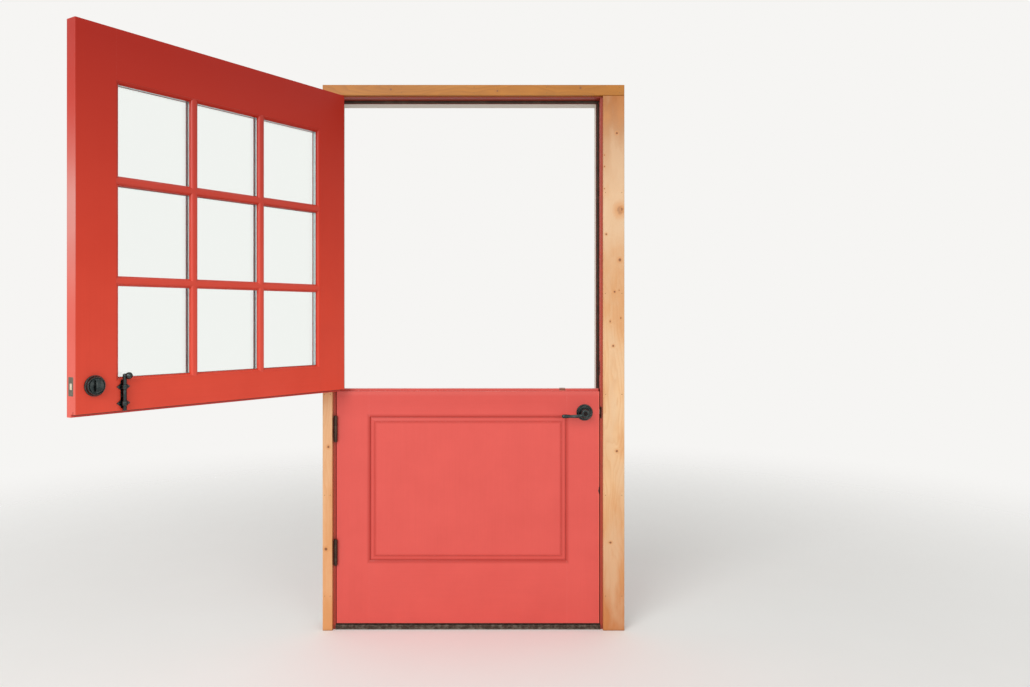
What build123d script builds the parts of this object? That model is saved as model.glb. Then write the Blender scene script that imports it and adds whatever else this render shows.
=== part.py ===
"""Dutch stable door hung in its timber frame, without the wall.

The upper leaf is glazed with three by three lights and stands open. The lower leaf is
panelled and shut. Each leaf hangs on two butt hinges on the left, seen from outside, and
opens outwards. The two meeting rails overlap in a shiplap joint.

Axes: +X to the right seen from outside, +Y into the house, +Z up. The origin is on the
foot of the sill, half-way between the jambs, in the plane of the wall's outer face.
Every size is in millimetres. The upper leaf is drawn shut and swung open at the end.
"""

import os
from math import cos, radians, sin, tan

from build123d import *

os.makedirs("parts", exist_ok=True)

# Leaves
leaf_width = 1066.8
leaf_thickness = 44.5
lower_face_height = 940.0
upper_face_height = 1185.5
lock_edge_bevel = 3.0
arris_radius = 1.5
upper_open_angle = 125.15

# Shiplap joint of the two meeting rails
shiplap_height = 9.5
shiplap_play = 1.0

# Gaps round the leaves
side_gap = 3.2
head_gap = 3.0
meeting_gap = 3.0
sill_gap = 6.0

# Frame
jamb_depth = 116.0
jamb_thickness = 38.0
stop_height = 12.7
seal_room = 8.0
housing_depth = 9.5
casing_thickness = 19.0
casing_reveal = 10.0
head_casing_reveal = 4.5
hinge_casing_width = 39.0
latch_casing_width = 86.0
head_casing_width = 43.0
casing_edge_radius = 3.0
casing_relief_depth = 2.0
casing_relief_play = 2.0
casing_wall_land = 14.0

# Sill
sill_nose = 6.0
sill_height = 18.0
sill_nose_drop = 2.5
bumper_height = 34.0
bumper_room = 5.5
bumper_width = 11.0
sill_back_height = 21.0
flute_width = 3.0
flute_depth = 1.2
flute_pitch = 6.5
flute_count = 6

# Rubber seals
seal_clearance = 0.3
seal_width = 11.0
seal_radius = 3.0
seal_stem_width = 2.6
seal_stem_depth = 7.0
kerf_width = 3.0
kerf_depth = 8.0
sill_seal_height = 8.0
meeting_seal_width = 6.0

# Upper leaf
glazed_stile_width = 127.5
glazed_top_rail_width = 158.5
glazed_meeting_rail_width = 92.0
outer_sticking_height = 12.0
ovolo_width = 11.0
ovolo_radius = 8.5
ovolo_quirk = 1.2
bar_flat = 8.0
bar_recess = 0.8
bars_across = 2
bars_up = 2
pane_thickness = 4.0
pane_space = 13.0
pane_edge_play = 3.0
spacer_width = 6.5
shadow_bar_width = 22.0
shadow_bar_play = 1.5

# Lower leaf
panel_stile_width = 132.0
panel_top_rail_width = 100.0
panel_bottom_rail_width = 250.0
groove_width = 12.0
groove_depth = 9.0
panel_side_play = 1.5
panel_stick_radius = 5.0
panel_joint = 0.4
band_width = 17.0
band_outer_depth = 5.2
band_inner_depth = 3.4
field_shoulder_width = 2.5
field_depth = 0.6

# Butt hinges
hinge_height = 101.6
hinge_plate_thickness = 3.0
hinge_plate_reach = 36.0
hinge_plate_radius = 6.0
pin_stand_off = 8.0
barrel_radius = 7.2
knuckle_count = 5
knuckle_gap = 0.3
knuckle_clearance = 0.4
pin_radius = 3.2
running_fit = 0.05
pin_tip_radius = 5.6
pin_tip_height = 3.0
pin_tip_chamfer = 1.6
hinge_from_meeting = 151.0
hinge_from_bottom = 289.0
hinge_from_top = 203.0

# Bored locks
backset = 60.3
latch_below_shoulder = 85.0
deadbolt_above_lip = 92.0
cross_bore_radius = 27.0
edge_bore_radius = 12.8
case_radius = 12.7
face_plate_width = 25.4
face_plate_height = 57.0
face_plate_thickness = 2.4
face_plate_radius = 3.0
bolt_width = 12.5
bolt_height = 19.0
bolt_radius = 2.5
bolt_clearance = 0.3
latch_throw = 11.0
latch_body_length = 34.0
deadbolt_throw = 25.4
deadbolt_held_length = 18.6
deadbolt_proud = 0.2
case_tail = 9.0
case_cross_hole = 7.0
case_end_wall = 1.5
pocket_side_room = 1.5
pocket_end_room = 2.2
strike_thickness = 2.2
strike_height = 57.0
strike_reach = 34.0
strike_lip_height = 46.0
strike_lip_radius = 5.0

# Lever set
rose_radius = 33.0
rose_flange = 4.0
rose_ring_radius = 26.5
rose_ring_height = 9.0
rose_dish_radius = 21.0
rose_dish_depth = 1.5
hub_radius = 18.0
hub_front_radius = 16.0
hub_front = 54.0
hub_edge_radius = 3.0
running_gap = 0.3
spindle_radius = 4.0
lever_length = 94.6
lever_drop = 10.5
lever_stand_off = 49.0
lever_height = 13.5
lever_depth = 10.5
cylinder_radius = 9.0
cylinder_depth = 12.0
keyway_width = 2.2
keyway_height = 8.5
keyway_depth = 5.0
button_radius = 6.5
button_proud = 8.0
button_tab_width = 3.2

# Deadbolt trim
dead_rose_radius = 31.75
dead_rose_height = 13.0
dead_rose_step = 4.0
dead_dial_radius = 25.5
dead_dial_depth = 2.0
thumb_height = 42.0
thumb_width = 10.5
thumb_proud = 19.0
thumb_neck_radius = 5.0
dead_collar_front_radius = 23.0
dead_collar_height = 22.0
dead_spigot_depth = 6.0
thumb_dial_thickness = 2.0
thumb_crown_rise = 3.0

# Surface bolt on the inner face, beside the lock stile
slide_bolt_backset = 149.0
slide_plate_thickness = 3.0
slide_plate_width = 17.0
slide_plate_length = 92.0
slide_plate_lift = 6.0
ear_width = 43.0
ear_height = 25.0
lower_ear_offset = 17.0
upper_ear_offset = 68.0
rod_radius = 6.0
rod_stand_off = 9.5
rod_throw = 16.0
rod_lift = 0.5
rod_top_overrun = 17.0
guide_wall = 3.2
guide_height = 11.0
knob_radius = 11.0
knob_neck_radius = 4.5
knob_stand_off = 12.0
knob_lean = 0.65
keeper_width = 24.5
keeper_foot_wall = 7.5
keeper_wall = 4.0
strap_thickness = 2.0
strap_drop = 7.0
rod_hole_clearance = 0.8

# Levels and places that follow from the sizes above
half_opening = leaf_width / 2 + side_gap
leaf_left = -leaf_width / 2
leaf_right = leaf_width / 2
lower_bottom = sill_height + sill_gap
shoulder_level = lower_bottom + lower_face_height
tongue_top = shoulder_level + shiplap_height
lip_level = shoulder_level + meeting_gap
notch_level = tongue_top + meeting_gap
upper_top = lip_level + upper_face_height
head_level = upper_top + head_gap
lap_front = leaf_thickness / 2
lap_back = lap_front - shiplap_play
rabbet_depth = leaf_thickness + seal_room
rabbet_wall = jamb_thickness - stop_height
jamb_top = head_level + rabbet_wall
half_stop_opening = half_opening - stop_height
bumper_face = leaf_thickness + bumper_room

glass_left = leaf_left + glazed_stile_width
glass_right = leaf_right - glazed_stile_width
glass_bottom = lip_level + glazed_meeting_rail_width + shiplap_height
glass_top = upper_top - glazed_top_rail_width
glass_width = glass_right - glass_left
glass_height = glass_top - glass_bottom
light_pitch_x = glass_width / (bars_across + 1)
light_pitch_z = glass_height / (bars_up + 1)
inner_glass_face = outer_sticking_height + 2 * pane_thickness + pane_space
bead_height = leaf_thickness - inner_glass_face

panel_left = leaf_left + panel_stile_width
panel_right = leaf_right - panel_stile_width
panel_bottom = lower_bottom + panel_bottom_rail_width
panel_top = shoulder_level - panel_top_rail_width

pin_x = -half_opening + side_gap / 2
pin_y = -pin_stand_off
pin_axis = Axis((pin_x, pin_y, 0), (0, 0, 1))
knuckle_pitch = hinge_height / knuckle_count
upper_hinge_levels = {"top": upper_top - hinge_from_top, "bottom": lip_level + hinge_from_meeting}
lower_hinge_levels = {
    "top": shoulder_level - hinge_from_meeting,
    "bottom": lower_bottom + hinge_from_bottom,
}
hinge_levels = [*upper_hinge_levels.values(), *lower_hinge_levels.values()]

mid_leaf = leaf_thickness / 2
lock_x = leaf_right - backset
latch_level = shoulder_level - latch_below_shoulder
deadbolt_level = lip_level + deadbolt_above_lip
bevel_run = leaf_thickness * tan(radians(lock_edge_bevel))
lock_edge = Plane(
    origin=(leaf_right - bevel_run / 2, mid_leaf, 0),
    x_dir=(-sin(radians(lock_edge_bevel)), cos(radians(lock_edge_bevel)), 0),
    z_dir=(cos(radians(lock_edge_bevel)), sin(radians(lock_edge_bevel)), 0),
)
slide_x = leaf_right - slide_bolt_backset
slide_y = leaf_thickness + rod_stand_off
slide_plate_foot = notch_level + slide_plate_lift


def write(piece, name):
    """Names a finished piece and saves it under that name."""
    piece.label = name
    export_step(piece, f"parts/{name}.step")


def swung(piece):
    """The piece in the place it takes when the upper leaf stands open."""
    return piece.rotate(pin_axis, -upper_open_angle)


def slab(low, high):
    """A square-edged solid between two opposite corners."""
    size = [b - a for a, b in zip(low, high)]
    with BuildPart() as block:
        with BuildSketch(Plane.XY.offset(low[2])):
            with Locations(((low[0] + high[0]) / 2, (low[1] + high[1]) / 2)):
                Rectangle(size[0], size[1])
        extrude(amount=size[2])
    return block.part


# Sill: a fluted outward-opening threshold with a bumper behind the leaf
def draw_sill_outline():
    """The sill seen from its end, as a closed line in the plane of Y and Z."""
    Polyline(
        (-sill_nose, 0),
        (-sill_nose, sill_height - sill_nose_drop),
        (-sill_nose + sill_nose_drop, sill_height),
        (bumper_face, sill_height),
        (bumper_face, bumper_height),
        (bumper_face + bumper_width, bumper_height),
        (jamb_depth, sill_back_height),
        (jamb_depth, 0),
        close=True,
    )


sill_seal_level = lower_bottom + sill_seal_height / 2 + 1

with BuildPart() as sill:
    with BuildSketch(Plane.YZ.offset(-half_opening)):
        with BuildLine():
            draw_sill_outline()
        make_face()
        with Locations((sill_nose, sill_height)):
            with Locations([(index * flute_pitch, 0) for index in range(flute_count)]):
                Rectangle(flute_width, 2 * flute_depth, mode=Mode.SUBTRACT)
        with Locations((bumper_face, sill_seal_level)):
            Rectangle(2 * (seal_stem_depth - 1), kerf_width, mode=Mode.SUBTRACT)
    extrude(amount=2 * half_opening)
write(sill.part, "sill")

with BuildPart() as sill_seal:
    with BuildSketch(Plane.YZ.offset(-half_opening)):
        seal_depth = bumper_room - seal_clearance
        with Locations((bumper_face - seal_depth / 2, sill_seal_level)):
            RectangleRounded(seal_depth, sill_seal_height, seal_depth / 2 - 0.1)
        with Locations((bumper_face, sill_seal_level)):
            Rectangle(2 * (seal_stem_depth - 2), seal_stem_width)
        with Locations((bumper_face - 1, sill_seal_level)):
            Rectangle(2, sill_seal_height)
    extrude(amount=2 * half_opening)
write(sill_seal.part, "sill_seal")


# Jambs: rabbeted timber with the stop in one piece with each
def draw_head_outline():
    """The head jamb seen from its end, as a closed line in the plane of Y and Z."""
    Polyline(
        (0, head_level),
        (rabbet_depth, head_level),
        (rabbet_depth, head_level - stop_height),
        (jamb_depth, head_level - stop_height),
        (jamb_depth, jamb_top),
        (0, jamb_top),
        close=True,
    )


kerf_offset = seal_width / 2 + seal_clearance


def jamb_blank(side):
    """A side jamb cut to the sill and the head. Side is -1 for the hinges, 1 for the latch."""
    face = side * half_opening
    edge = side * half_stop_opening
    back = side * (half_opening + rabbet_wall)
    with BuildPart() as jamb:
        with BuildSketch(Plane.XY):
            with BuildLine():
                Polyline(
                    (face, 0),
                    (back, 0),
                    (back, jamb_depth),
                    (edge, jamb_depth),
                    (edge, rabbet_depth),
                    (face, rabbet_depth),
                    close=True,
                )
            make_face()
            with Locations((face - side * kerf_offset, rabbet_depth)):
                Rectangle(kerf_width, 2 * kerf_depth, mode=Mode.SUBTRACT)
        extrude(amount=jamb_top)
        with BuildSketch(Plane.YZ.offset(-half_opening)):
            with BuildLine():
                draw_sill_outline()
            make_face()
        extrude(amount=2 * half_opening, mode=Mode.SUBTRACT)
        with BuildSketch(Plane.YZ.offset(-half_opening - housing_depth)):
            with BuildLine():
                draw_head_outline()
            make_face()
        extrude(amount=2 * (half_opening + housing_depth), mode=Mode.SUBTRACT)
    return jamb.part


def hinge_plate(face_x, side, level):
    """The flat of one hinge leaf, let into the face at face_x on the given side."""
    with BuildPart() as plate:
        with BuildSketch(Plane.YZ.offset(face_x)) as outline:
            with Locations(((pin_y + hinge_plate_reach) / 2, level)):
                Rectangle(hinge_plate_reach - pin_y, hinge_height)
            fillet(outline.vertices().group_by(Axis.X)[-1], hinge_plate_radius)
        extrude(amount=side * hinge_plate_thickness)
    return plate.part


with BuildPart() as hinge_jamb:
    add(jamb_blank(-1))
    for level in hinge_levels:
        add(hinge_plate(-half_opening, -1, level), mode=Mode.SUBTRACT)
write(hinge_jamb.part, "hinge_jamb")


pocket_depth = deadbolt_proud + deadbolt_throw - bevel_run / 2 - side_gap + pocket_end_room


def bolt_pocket(level):
    """The hollow behind a strike, with room all round the thrown bolt."""
    half_y = bolt_width / 2 + pocket_side_room
    half_z = bolt_height / 2 + pocket_side_room
    low = (half_opening - 1, mid_leaf - half_y, level - half_z)
    high = (half_opening + pocket_depth, mid_leaf + half_y, level + half_z)
    return slab(low, high)


def strike_plate(level):
    """A flat strike let into the latch jamb's face, with its bolt hole."""
    with BuildPart() as plate:
        with BuildSketch(Plane.YZ.offset(half_opening)):
            with Locations((strike_reach / 2 + 1, level)):
                RectangleRounded(strike_reach, strike_height, face_plate_radius)
            with Locations((mid_leaf, level)):
                Rectangle(
                    bolt_width + 2 * pocket_side_room,
                    bolt_height + 2 * pocket_side_room,
                    mode=Mode.SUBTRACT,
                )
        extrude(amount=strike_thickness)
    return plate.part


def strike_recess(level):
    """The shallow recess that a strike lies flush in."""
    with BuildPart() as recess:
        with BuildSketch(Plane.YZ.offset(half_opening)):
            with Locations((strike_reach / 2 + 1, level)):
                RectangleRounded(strike_reach, strike_height, face_plate_radius)
        extrude(amount=strike_thickness)
    return recess.part


with BuildPart() as latch_jamb:
    add(jamb_blank(1))
    for level in (latch_level, deadbolt_level):
        add(strike_recess(level), mode=Mode.SUBTRACT)
        add(bolt_pocket(level), mode=Mode.SUBTRACT)
    add(
        slab(
            (half_opening - 1, -1, latch_level - strike_lip_height / 2),
            (half_opening + strike_thickness, 2, latch_level + strike_lip_height / 2),
        ),
        mode=Mode.SUBTRACT,
    )
write(latch_jamb.part, "latch_jamb")

with BuildPart() as head_jamb:
    with BuildSketch(Plane.YZ.offset(-half_opening - housing_depth)):
        with BuildLine():
            draw_head_outline()
        make_face()
        with Locations((rabbet_depth, head_level - kerf_offset)):
            Rectangle(2 * kerf_depth, kerf_width, mode=Mode.SUBTRACT)
    extrude(amount=2 * (half_opening + housing_depth))
write(head_jamb.part, "head_jamb")

# Strikes on the latch jamb: the latch's has a curled lip that leads the bolt in
with BuildPart() as latch_strike:
    add(strike_plate(latch_level))
    lip_centre = (half_opening + strike_lip_radius, 0)
    with BuildSketch(Plane.XY.offset(latch_level - strike_lip_height / 2)):
        with BuildLine():
            outer = CenterArc(lip_centre, strike_lip_radius, 180, 90)
            inner = CenterArc(lip_centre, strike_lip_radius - strike_thickness, 180, 90)
            Line(outer @ 1, inner @ 1)
            Polyline(
                outer @ 0,
                (half_opening, 2),
                (half_opening + strike_thickness, 2),
                inner @ 0,
            )
        make_face()
    extrude(amount=strike_lip_height)
write(latch_strike.part, "latch_strike")
write(strike_plate(deadbolt_level), "deadbolt_strike")


# Casings: flat boards with eased edges round the outside of the frame
casing_x = half_opening + casing_reveal
head_casing_level = head_level + head_casing_reveal
head_casing_top = head_casing_level + head_casing_width
relief_x = half_opening + rabbet_wall + casing_relief_play
relief_level = jamb_top + casing_relief_play


def casing(low, high, relief_low, relief_high):
    """A casing board with rounded front arrises and a shallow relief ploughed along its back.

    The corners of the board and of the relief are given in X and Z. The relief parts the
    strip that lies on the jamb's edge from the strip that lies on the wall.
    """
    with BuildPart() as board:
        add(slab((low[0], -casing_thickness, low[1]), (high[0], 0, high[1])))
        fillet(board.faces().sort_by(Axis.Y)[0].edges(), casing_edge_radius)
        relief = slab(
            (relief_low[0], -casing_relief_depth, relief_low[1]),
            (relief_high[0], casing_relief_depth, relief_high[1]),
        )
        add(relief, mode=Mode.SUBTRACT)
    return board.part


hinge_casing_outer = -casing_x - hinge_casing_width
latch_casing_outer = casing_x + latch_casing_width
hinge_casing = casing(
    (hinge_casing_outer, 0),
    (-casing_x, head_casing_level),
    (hinge_casing_outer + casing_wall_land, 0),
    (-relief_x, head_casing_level),
)
latch_casing = casing(
    (casing_x, 0),
    (latch_casing_outer, head_casing_level),
    (relief_x, 0),
    (latch_casing_outer - casing_wall_land, head_casing_level),
)
head_casing = casing(
    (hinge_casing_outer, head_casing_level),
    (latch_casing_outer, head_casing_top),
    (hinge_casing_outer, relief_level),
    (latch_casing_outer, head_casing_top - casing_wall_land),
)
write(hinge_casing, "hinge_casing")
write(latch_casing, "latch_casing")
write(head_casing, "head_casing")


# Weatherstrips: foam bulbs with a stem pressed into the kerf of each stop
def draw_seal_section(centre_x, centre_y, across_x):
    """The seal's section, its stem pointing inwards, on the current sketch."""
    bulb = seal_room - seal_clearance
    wide, deep = (seal_width, bulb) if across_x else (bulb, seal_width)
    shift = (0, -bulb / 2) if across_x else (-bulb / 2, 0)
    stem = (
        (seal_stem_width, 2 * seal_stem_depth)
        if across_x
        else (2 * seal_stem_depth, seal_stem_width)
    )
    with Locations((centre_x + shift[0], centre_y + shift[1])):
        RectangleRounded(wide, deep, seal_radius)
    with Locations((centre_x, centre_y)):
        Rectangle(*stem)


def side_seal(side):
    """The weatherstrip of one side jamb, from the sill's bumper to the head's strip."""
    with BuildPart() as strip:
        with BuildSketch(Plane.XY.offset(bumper_height)):
            draw_seal_section(side * (half_opening - kerf_offset), rabbet_depth, True)
        extrude(amount=head_level - stop_height - bumper_height)
    return strip.part


write(side_seal(-1), "hinge_weatherstrip")
write(side_seal(1), "latch_weatherstrip")

with BuildPart() as head_weatherstrip:
    with BuildSketch(Plane.YZ.offset(-half_opening)):
        draw_seal_section(rabbet_depth, head_level - kerf_offset, False)
    extrude(amount=2 * half_opening)
write(head_weatherstrip.part, "head_weatherstrip")


# Butt hinges: five knuckles, three on the frame's leaf and two on the door's
def barrel_length(level, radius, first, count, gap):
    """A round length of the barrel over a run of knuckles, less the gap at each end."""
    foot = level - hinge_height / 2 + first * knuckle_pitch + gap / 2
    with BuildPart() as barrel:
        with BuildSketch(Plane.XY.offset(foot)):
            with Locations((pin_x, pin_y)):
                Circle(radius)
        extrude(amount=count * knuckle_pitch - gap)
    return barrel.part


def hinge_leaf(level, face_x, side, first_knuckle):
    """One hinge leaf: its plate and every second knuckle from the first, bored for the pin."""
    own = range(first_knuckle, knuckle_count, 2)
    others = range(1 - first_knuckle, knuckle_count, 2)
    with BuildPart() as leaf:
        add(hinge_plate(face_x, side, level))
        for knuckle in others:
            clear = barrel_length(level, barrel_radius + knuckle_clearance, knuckle, 1, 0)
            add(clear, mode=Mode.SUBTRACT)
        for knuckle in own:
            add(barrel_length(level, barrel_radius, knuckle, 1, knuckle_gap))
        bore = barrel_length(level, pin_radius + running_fit, 0, knuckle_count, 0)
        add(bore, mode=Mode.SUBTRACT)
    return leaf.part


for leaf_name, levels in (("upper", upper_hinge_levels), ("lower", lower_hinge_levels)):
    for place, level in levels.items():
        frame_leaf = hinge_leaf(level, -half_opening, -1, 0)
        write(frame_leaf, f"{leaf_name}_{place}_hinge_frame_leaf")
        door_leaf = hinge_leaf(level, leaf_left, 1, 1)
        if leaf_name == "upper":
            door_leaf = swung(door_leaf)
        write(door_leaf, f"{leaf_name}_{place}_hinge_door_leaf")


def draw_pin():
    """Half section of a hinge pin with a chamfered button tip at both ends."""
    half = hinge_height / 2
    crown = half + pin_tip_height
    shoulder = crown - pin_tip_chamfer
    crown_radius = pin_tip_radius - pin_tip_chamfer
    Polyline(
        (0, -crown),
        (crown_radius, -crown),
        (pin_tip_radius, -shoulder),
        (pin_tip_radius, -half),
        (pin_radius, -half),
        (pin_radius, half),
        (pin_tip_radius, half),
        (pin_tip_radius, shoulder),
        (crown_radius, crown),
        (0, crown),
        close=True,
    )


with BuildPart() as hinge_pins:
    for level in hinge_levels:
        hinge_side = Plane(origin=(pin_x, pin_y, level), x_dir=(1, 0, 0), z_dir=(0, -1, 0))
        with BuildSketch(hinge_side):
            with BuildLine():
                draw_pin()
            make_face()
        revolve(axis=pin_axis)
write(hinge_pins.part, "hinge_pins")


# Mouldings
def ovolo_run(start, end, inward, outward, height):
    """An ovolo moulding along one side of an opening.

    Start and end are on its back corner, inward points across the opening, outward from
    the glass to the leaf's face, and height is its rise from the glass to that face.
    """
    along = Vector(*inward).cross(Vector(*outward))
    first, last = Vector(*start), Vector(*end)
    if (last - first).dot(along) < 0:
        first, last = last, first
    foot = height - ovolo_quirk - ovolo_radius
    with BuildPart() as run:
        with BuildSketch(Plane(origin=first, x_dir=inward, z_dir=along)):
            with BuildLine():
                curve = CenterArc((0, foot), ovolo_radius, 0, 90)
                Polyline(curve @ 0, (ovolo_width, foot), (ovolo_width, 0), (0, 0), curve @ 1)
            make_face()
        extrude(amount=(last - first).length)
    return run.part


def glazing_runs(glass_y, outward, height):
    """The four mouldings round the glass: the uprights whole, the level ones coped to them."""
    low_left = (glass_left, glass_y, glass_bottom)
    low_right = (glass_right, glass_y, glass_bottom)
    high_left = (glass_left, glass_y, glass_top)
    high_right = (glass_right, glass_y, glass_top)
    up_left = ovolo_run(low_left, high_left, (1, 0, 0), outward, height)
    up_right = ovolo_run(low_right, high_right, (-1, 0, 0), outward, height)
    level_runs = []
    for start, end, inward in ((low_left, low_right, (0, 0, 1)), (high_left, high_right, (0, 0, -1))):
        with BuildPart() as run:
            add(ovolo_run(start, end, inward, outward, height))
            add(up_left, mode=Mode.SUBTRACT)
            add(up_right, mode=Mode.SUBTRACT)
        level_runs.append(run.part)
    return up_left, up_right, level_runs[0], level_runs[1]


outside = (0, -1, 0)
inside = (0, 1, 0)
stick_left, stick_right, stick_bottom, stick_top = glazing_runs(
    outer_sticking_height, outside, outer_sticking_height
)
bead_left, bead_right, bead_bottom, bead_top = glazing_runs(inner_glass_face, inside, bead_height)


def light_bars(glass_y, outward, height, surround):
    """Glazing bars on one side of the glass, moulded on both edges and coped to the surround."""
    foot = height - ovolo_quirk - ovolo_radius
    crown = height - bar_recess
    half_flat = bar_flat / 2
    uprights = []
    for index in range(bars_across):
        bar_x = glass_left + (index + 1) * light_pitch_x
        uprights.append(((bar_x, glass_y, glass_bottom), (1, 0, 0), glass_height))
    levels = []
    for index in range(bars_up):
        bar_z = glass_bottom + (index + 1) * light_pitch_z
        levels.append(((glass_left, glass_y, bar_z), (0, 0, 1), glass_width))
    with BuildPart() as grid:
        for start, across, length in uprights + levels:
            along = Vector(*across).cross(Vector(*outward))
            forward = Vector(1, 0, 0) if across == (0, 0, 1) else Vector(0, 0, 1)
            origin = Vector(*start)
            if along.dot(forward) < 0:
                origin += forward * length
            with BuildSketch(Plane(origin=origin, x_dir=across, z_dir=along)):
                with BuildLine():
                    right = CenterArc((half_flat, foot), ovolo_radius, 0, 90)
                    left = CenterArc((-half_flat, foot), ovolo_radius, 90, 90)
                    Polyline(right @ 1, (half_flat, crown), (-half_flat, crown), left @ 0)
                    Polyline(
                        left @ 1,
                        (-half_flat - ovolo_width, foot),
                        (-half_flat - ovolo_width, 0),
                        (half_flat + ovolo_width, 0),
                        (half_flat + ovolo_width, foot),
                        right @ 0,
                    )
                make_face()
            extrude(amount=length)
        for run in surround:
            add(run, mode=Mode.SUBTRACT)
    return grid.part


# Upper leaf: stiles and rails with the outer sticking worked in one piece with them
def draw_upper_side(top):
    """The upper leaf's section seen from its end, from the shiplap lip to the given level."""
    Polyline(
        (0, lip_level),
        (lap_back, lip_level),
        (lap_back, notch_level),
        (leaf_thickness, notch_level),
        (leaf_thickness, top),
        (0, top),
        close=True,
    )


def bevel_wedge(low_z, high_z):
    """What the bevel takes off the lock edge between two levels."""
    with BuildPart() as wedge:
        with BuildSketch(Plane.XY.offset(low_z)):
            with BuildLine():
                Polyline(
                    (leaf_right, 0),
                    (leaf_right + 1, 0),
                    (leaf_right + 1, leaf_thickness + 1),
                    (leaf_right - bevel_run * (1 + 1 / leaf_thickness), leaf_thickness + 1),
                    close=True,
                )
            make_face()
        extrude(amount=high_z - low_z)
    return wedge.part


def lock_bores(level):
    """The holes for a bored lock: across the stile, in from the edge, and for its face plate."""
    with BuildPart() as bores:
        with BuildSketch(Plane.XZ):
            with Locations((lock_x, level)):
                Circle(cross_bore_radius)
        extrude(amount=-leaf_thickness)
        with BuildSketch(Plane.YZ.offset(lock_x)):
            with Locations((mid_leaf, level)):
                Circle(edge_bore_radius)
        extrude(amount=backset)
        with BuildSketch(lock_edge):
            with Locations((0, level)):
                RectangleRounded(face_plate_width, face_plate_height, face_plate_radius)
        extrude(amount=face_plate_thickness, both=True)
    return bores.part


meeting_kerf_y = (lap_front + leaf_thickness) / 2


def meeting_kerf():
    """The kerf along the notch that holds the meeting rail's seal."""
    return slab(
        (leaf_left - 1, meeting_kerf_y - kerf_width / 2, notch_level - 1),
        (leaf_right + 1, meeting_kerf_y + kerf_width / 2, notch_level + kerf_depth),
    )


with BuildPart() as upper_hinge_stile:
    with BuildSketch(Plane.YZ.offset(leaf_left)):
        with BuildLine():
            draw_upper_side(upper_top)
        make_face()
    extrude(amount=glazed_stile_width)
    fillet(upper_hinge_stile.edges().filter_by(Axis.Z).group_by(Axis.X)[0], arris_radius)
    add(stick_left)
    add(meeting_kerf(), mode=Mode.SUBTRACT)
    for level in upper_hinge_levels.values():
        add(hinge_plate(leaf_left, 1, level), mode=Mode.SUBTRACT)
write(swung(upper_hinge_stile.part), "upper_hinge_stile")

with BuildPart() as upper_lock_stile:
    with BuildSketch(Plane.YZ.offset(glass_right)):
        with BuildLine():
            draw_upper_side(upper_top)
        make_face()
    extrude(amount=glazed_stile_width)
    add(bevel_wedge(lip_level, upper_top), mode=Mode.SUBTRACT)
    lock_faces = upper_lock_stile.faces().filter_by(lambda face: face.normal_at().X > 0.9)
    fillet(lock_faces.edges().filter_by(Axis.Z), arris_radius)
    add(stick_right)
    add(meeting_kerf(), mode=Mode.SUBTRACT)
    add(lock_bores(deadbolt_level), mode=Mode.SUBTRACT)
write(swung(upper_lock_stile.part), "upper_lock_stile")

with BuildPart() as upper_top_rail:
    add(slab((glass_left, 0, glass_top), (glass_right, leaf_thickness, upper_top)))
    add(stick_top)
write(swung(upper_top_rail.part), "upper_top_rail")

with BuildPart() as upper_meeting_rail:
    with BuildSketch(Plane.YZ.offset(glass_left)):
        with BuildLine():
            draw_upper_side(glass_bottom)
        make_face()
    extrude(amount=glass_right - glass_left)
    add(stick_bottom)
    add(meeting_kerf(), mode=Mode.SUBTRACT)
write(swung(upper_meeting_rail.part), "upper_meeting_rail")

write(swung(bead_left), "hinge_glazing_bead")
write(swung(bead_right), "lock_glazing_bead")
write(swung(bead_bottom), "bottom_glazing_bead")
write(swung(bead_top), "top_glazing_bead")

outer_surround = (stick_left, stick_right, stick_bottom, stick_top)
inner_surround = (bead_left, bead_right, bead_bottom, bead_top)
outer_bars = light_bars(outer_sticking_height, outside, outer_sticking_height, outer_surround)
write(swung(outer_bars), "outer_glazing_bars")
write(swung(light_bars(inner_glass_face, inside, bead_height, inner_surround)), "inner_glazing_bars")


def pane(face_y):
    """One sheet of the sealed glazing unit, its outer face at face_y."""
    play = pane_edge_play
    return slab(
        (glass_left + play, face_y, glass_bottom + play),
        (glass_right - play, face_y + pane_thickness, glass_top - play),
    )


write(swung(pane(outer_sticking_height)), "outer_pane")
write(swung(pane(inner_glass_face - pane_thickness)), "inner_pane")

# Spacer between the panes, with a shadow bar behind each glazing bar
with BuildPart() as glass_spacer:
    spacer_y = outer_sticking_height + pane_thickness
    spacer_centre = ((glass_left + glass_right) / 2, spacer_y, (glass_bottom + glass_top) / 2)
    spacer_plane = Plane(origin=spacer_centre, x_dir=(1, 0, 0), z_dir=(0, -1, 0))
    unit_width = glass_width - 2 * pane_edge_play
    unit_height = glass_height - 2 * pane_edge_play
    with BuildSketch(spacer_plane):
        Rectangle(unit_width, unit_height)
        Rectangle(unit_width - 2 * spacer_width, unit_height - 2 * spacer_width, mode=Mode.SUBTRACT)
    extrude(amount=-pane_space)
    with BuildSketch(spacer_plane.offset(-shadow_bar_play)):
        with GridLocations(light_pitch_x, 0, bars_across, 1):
            Rectangle(shadow_bar_width, unit_height - spacer_width)
        with GridLocations(0, light_pitch_z, 1, bars_up):
            Rectangle(unit_width - spacer_width, shadow_bar_width)
    extrude(amount=-(pane_space - 2 * shadow_bar_play))
write(swung(glass_spacer.part), "glass_spacer")

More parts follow.
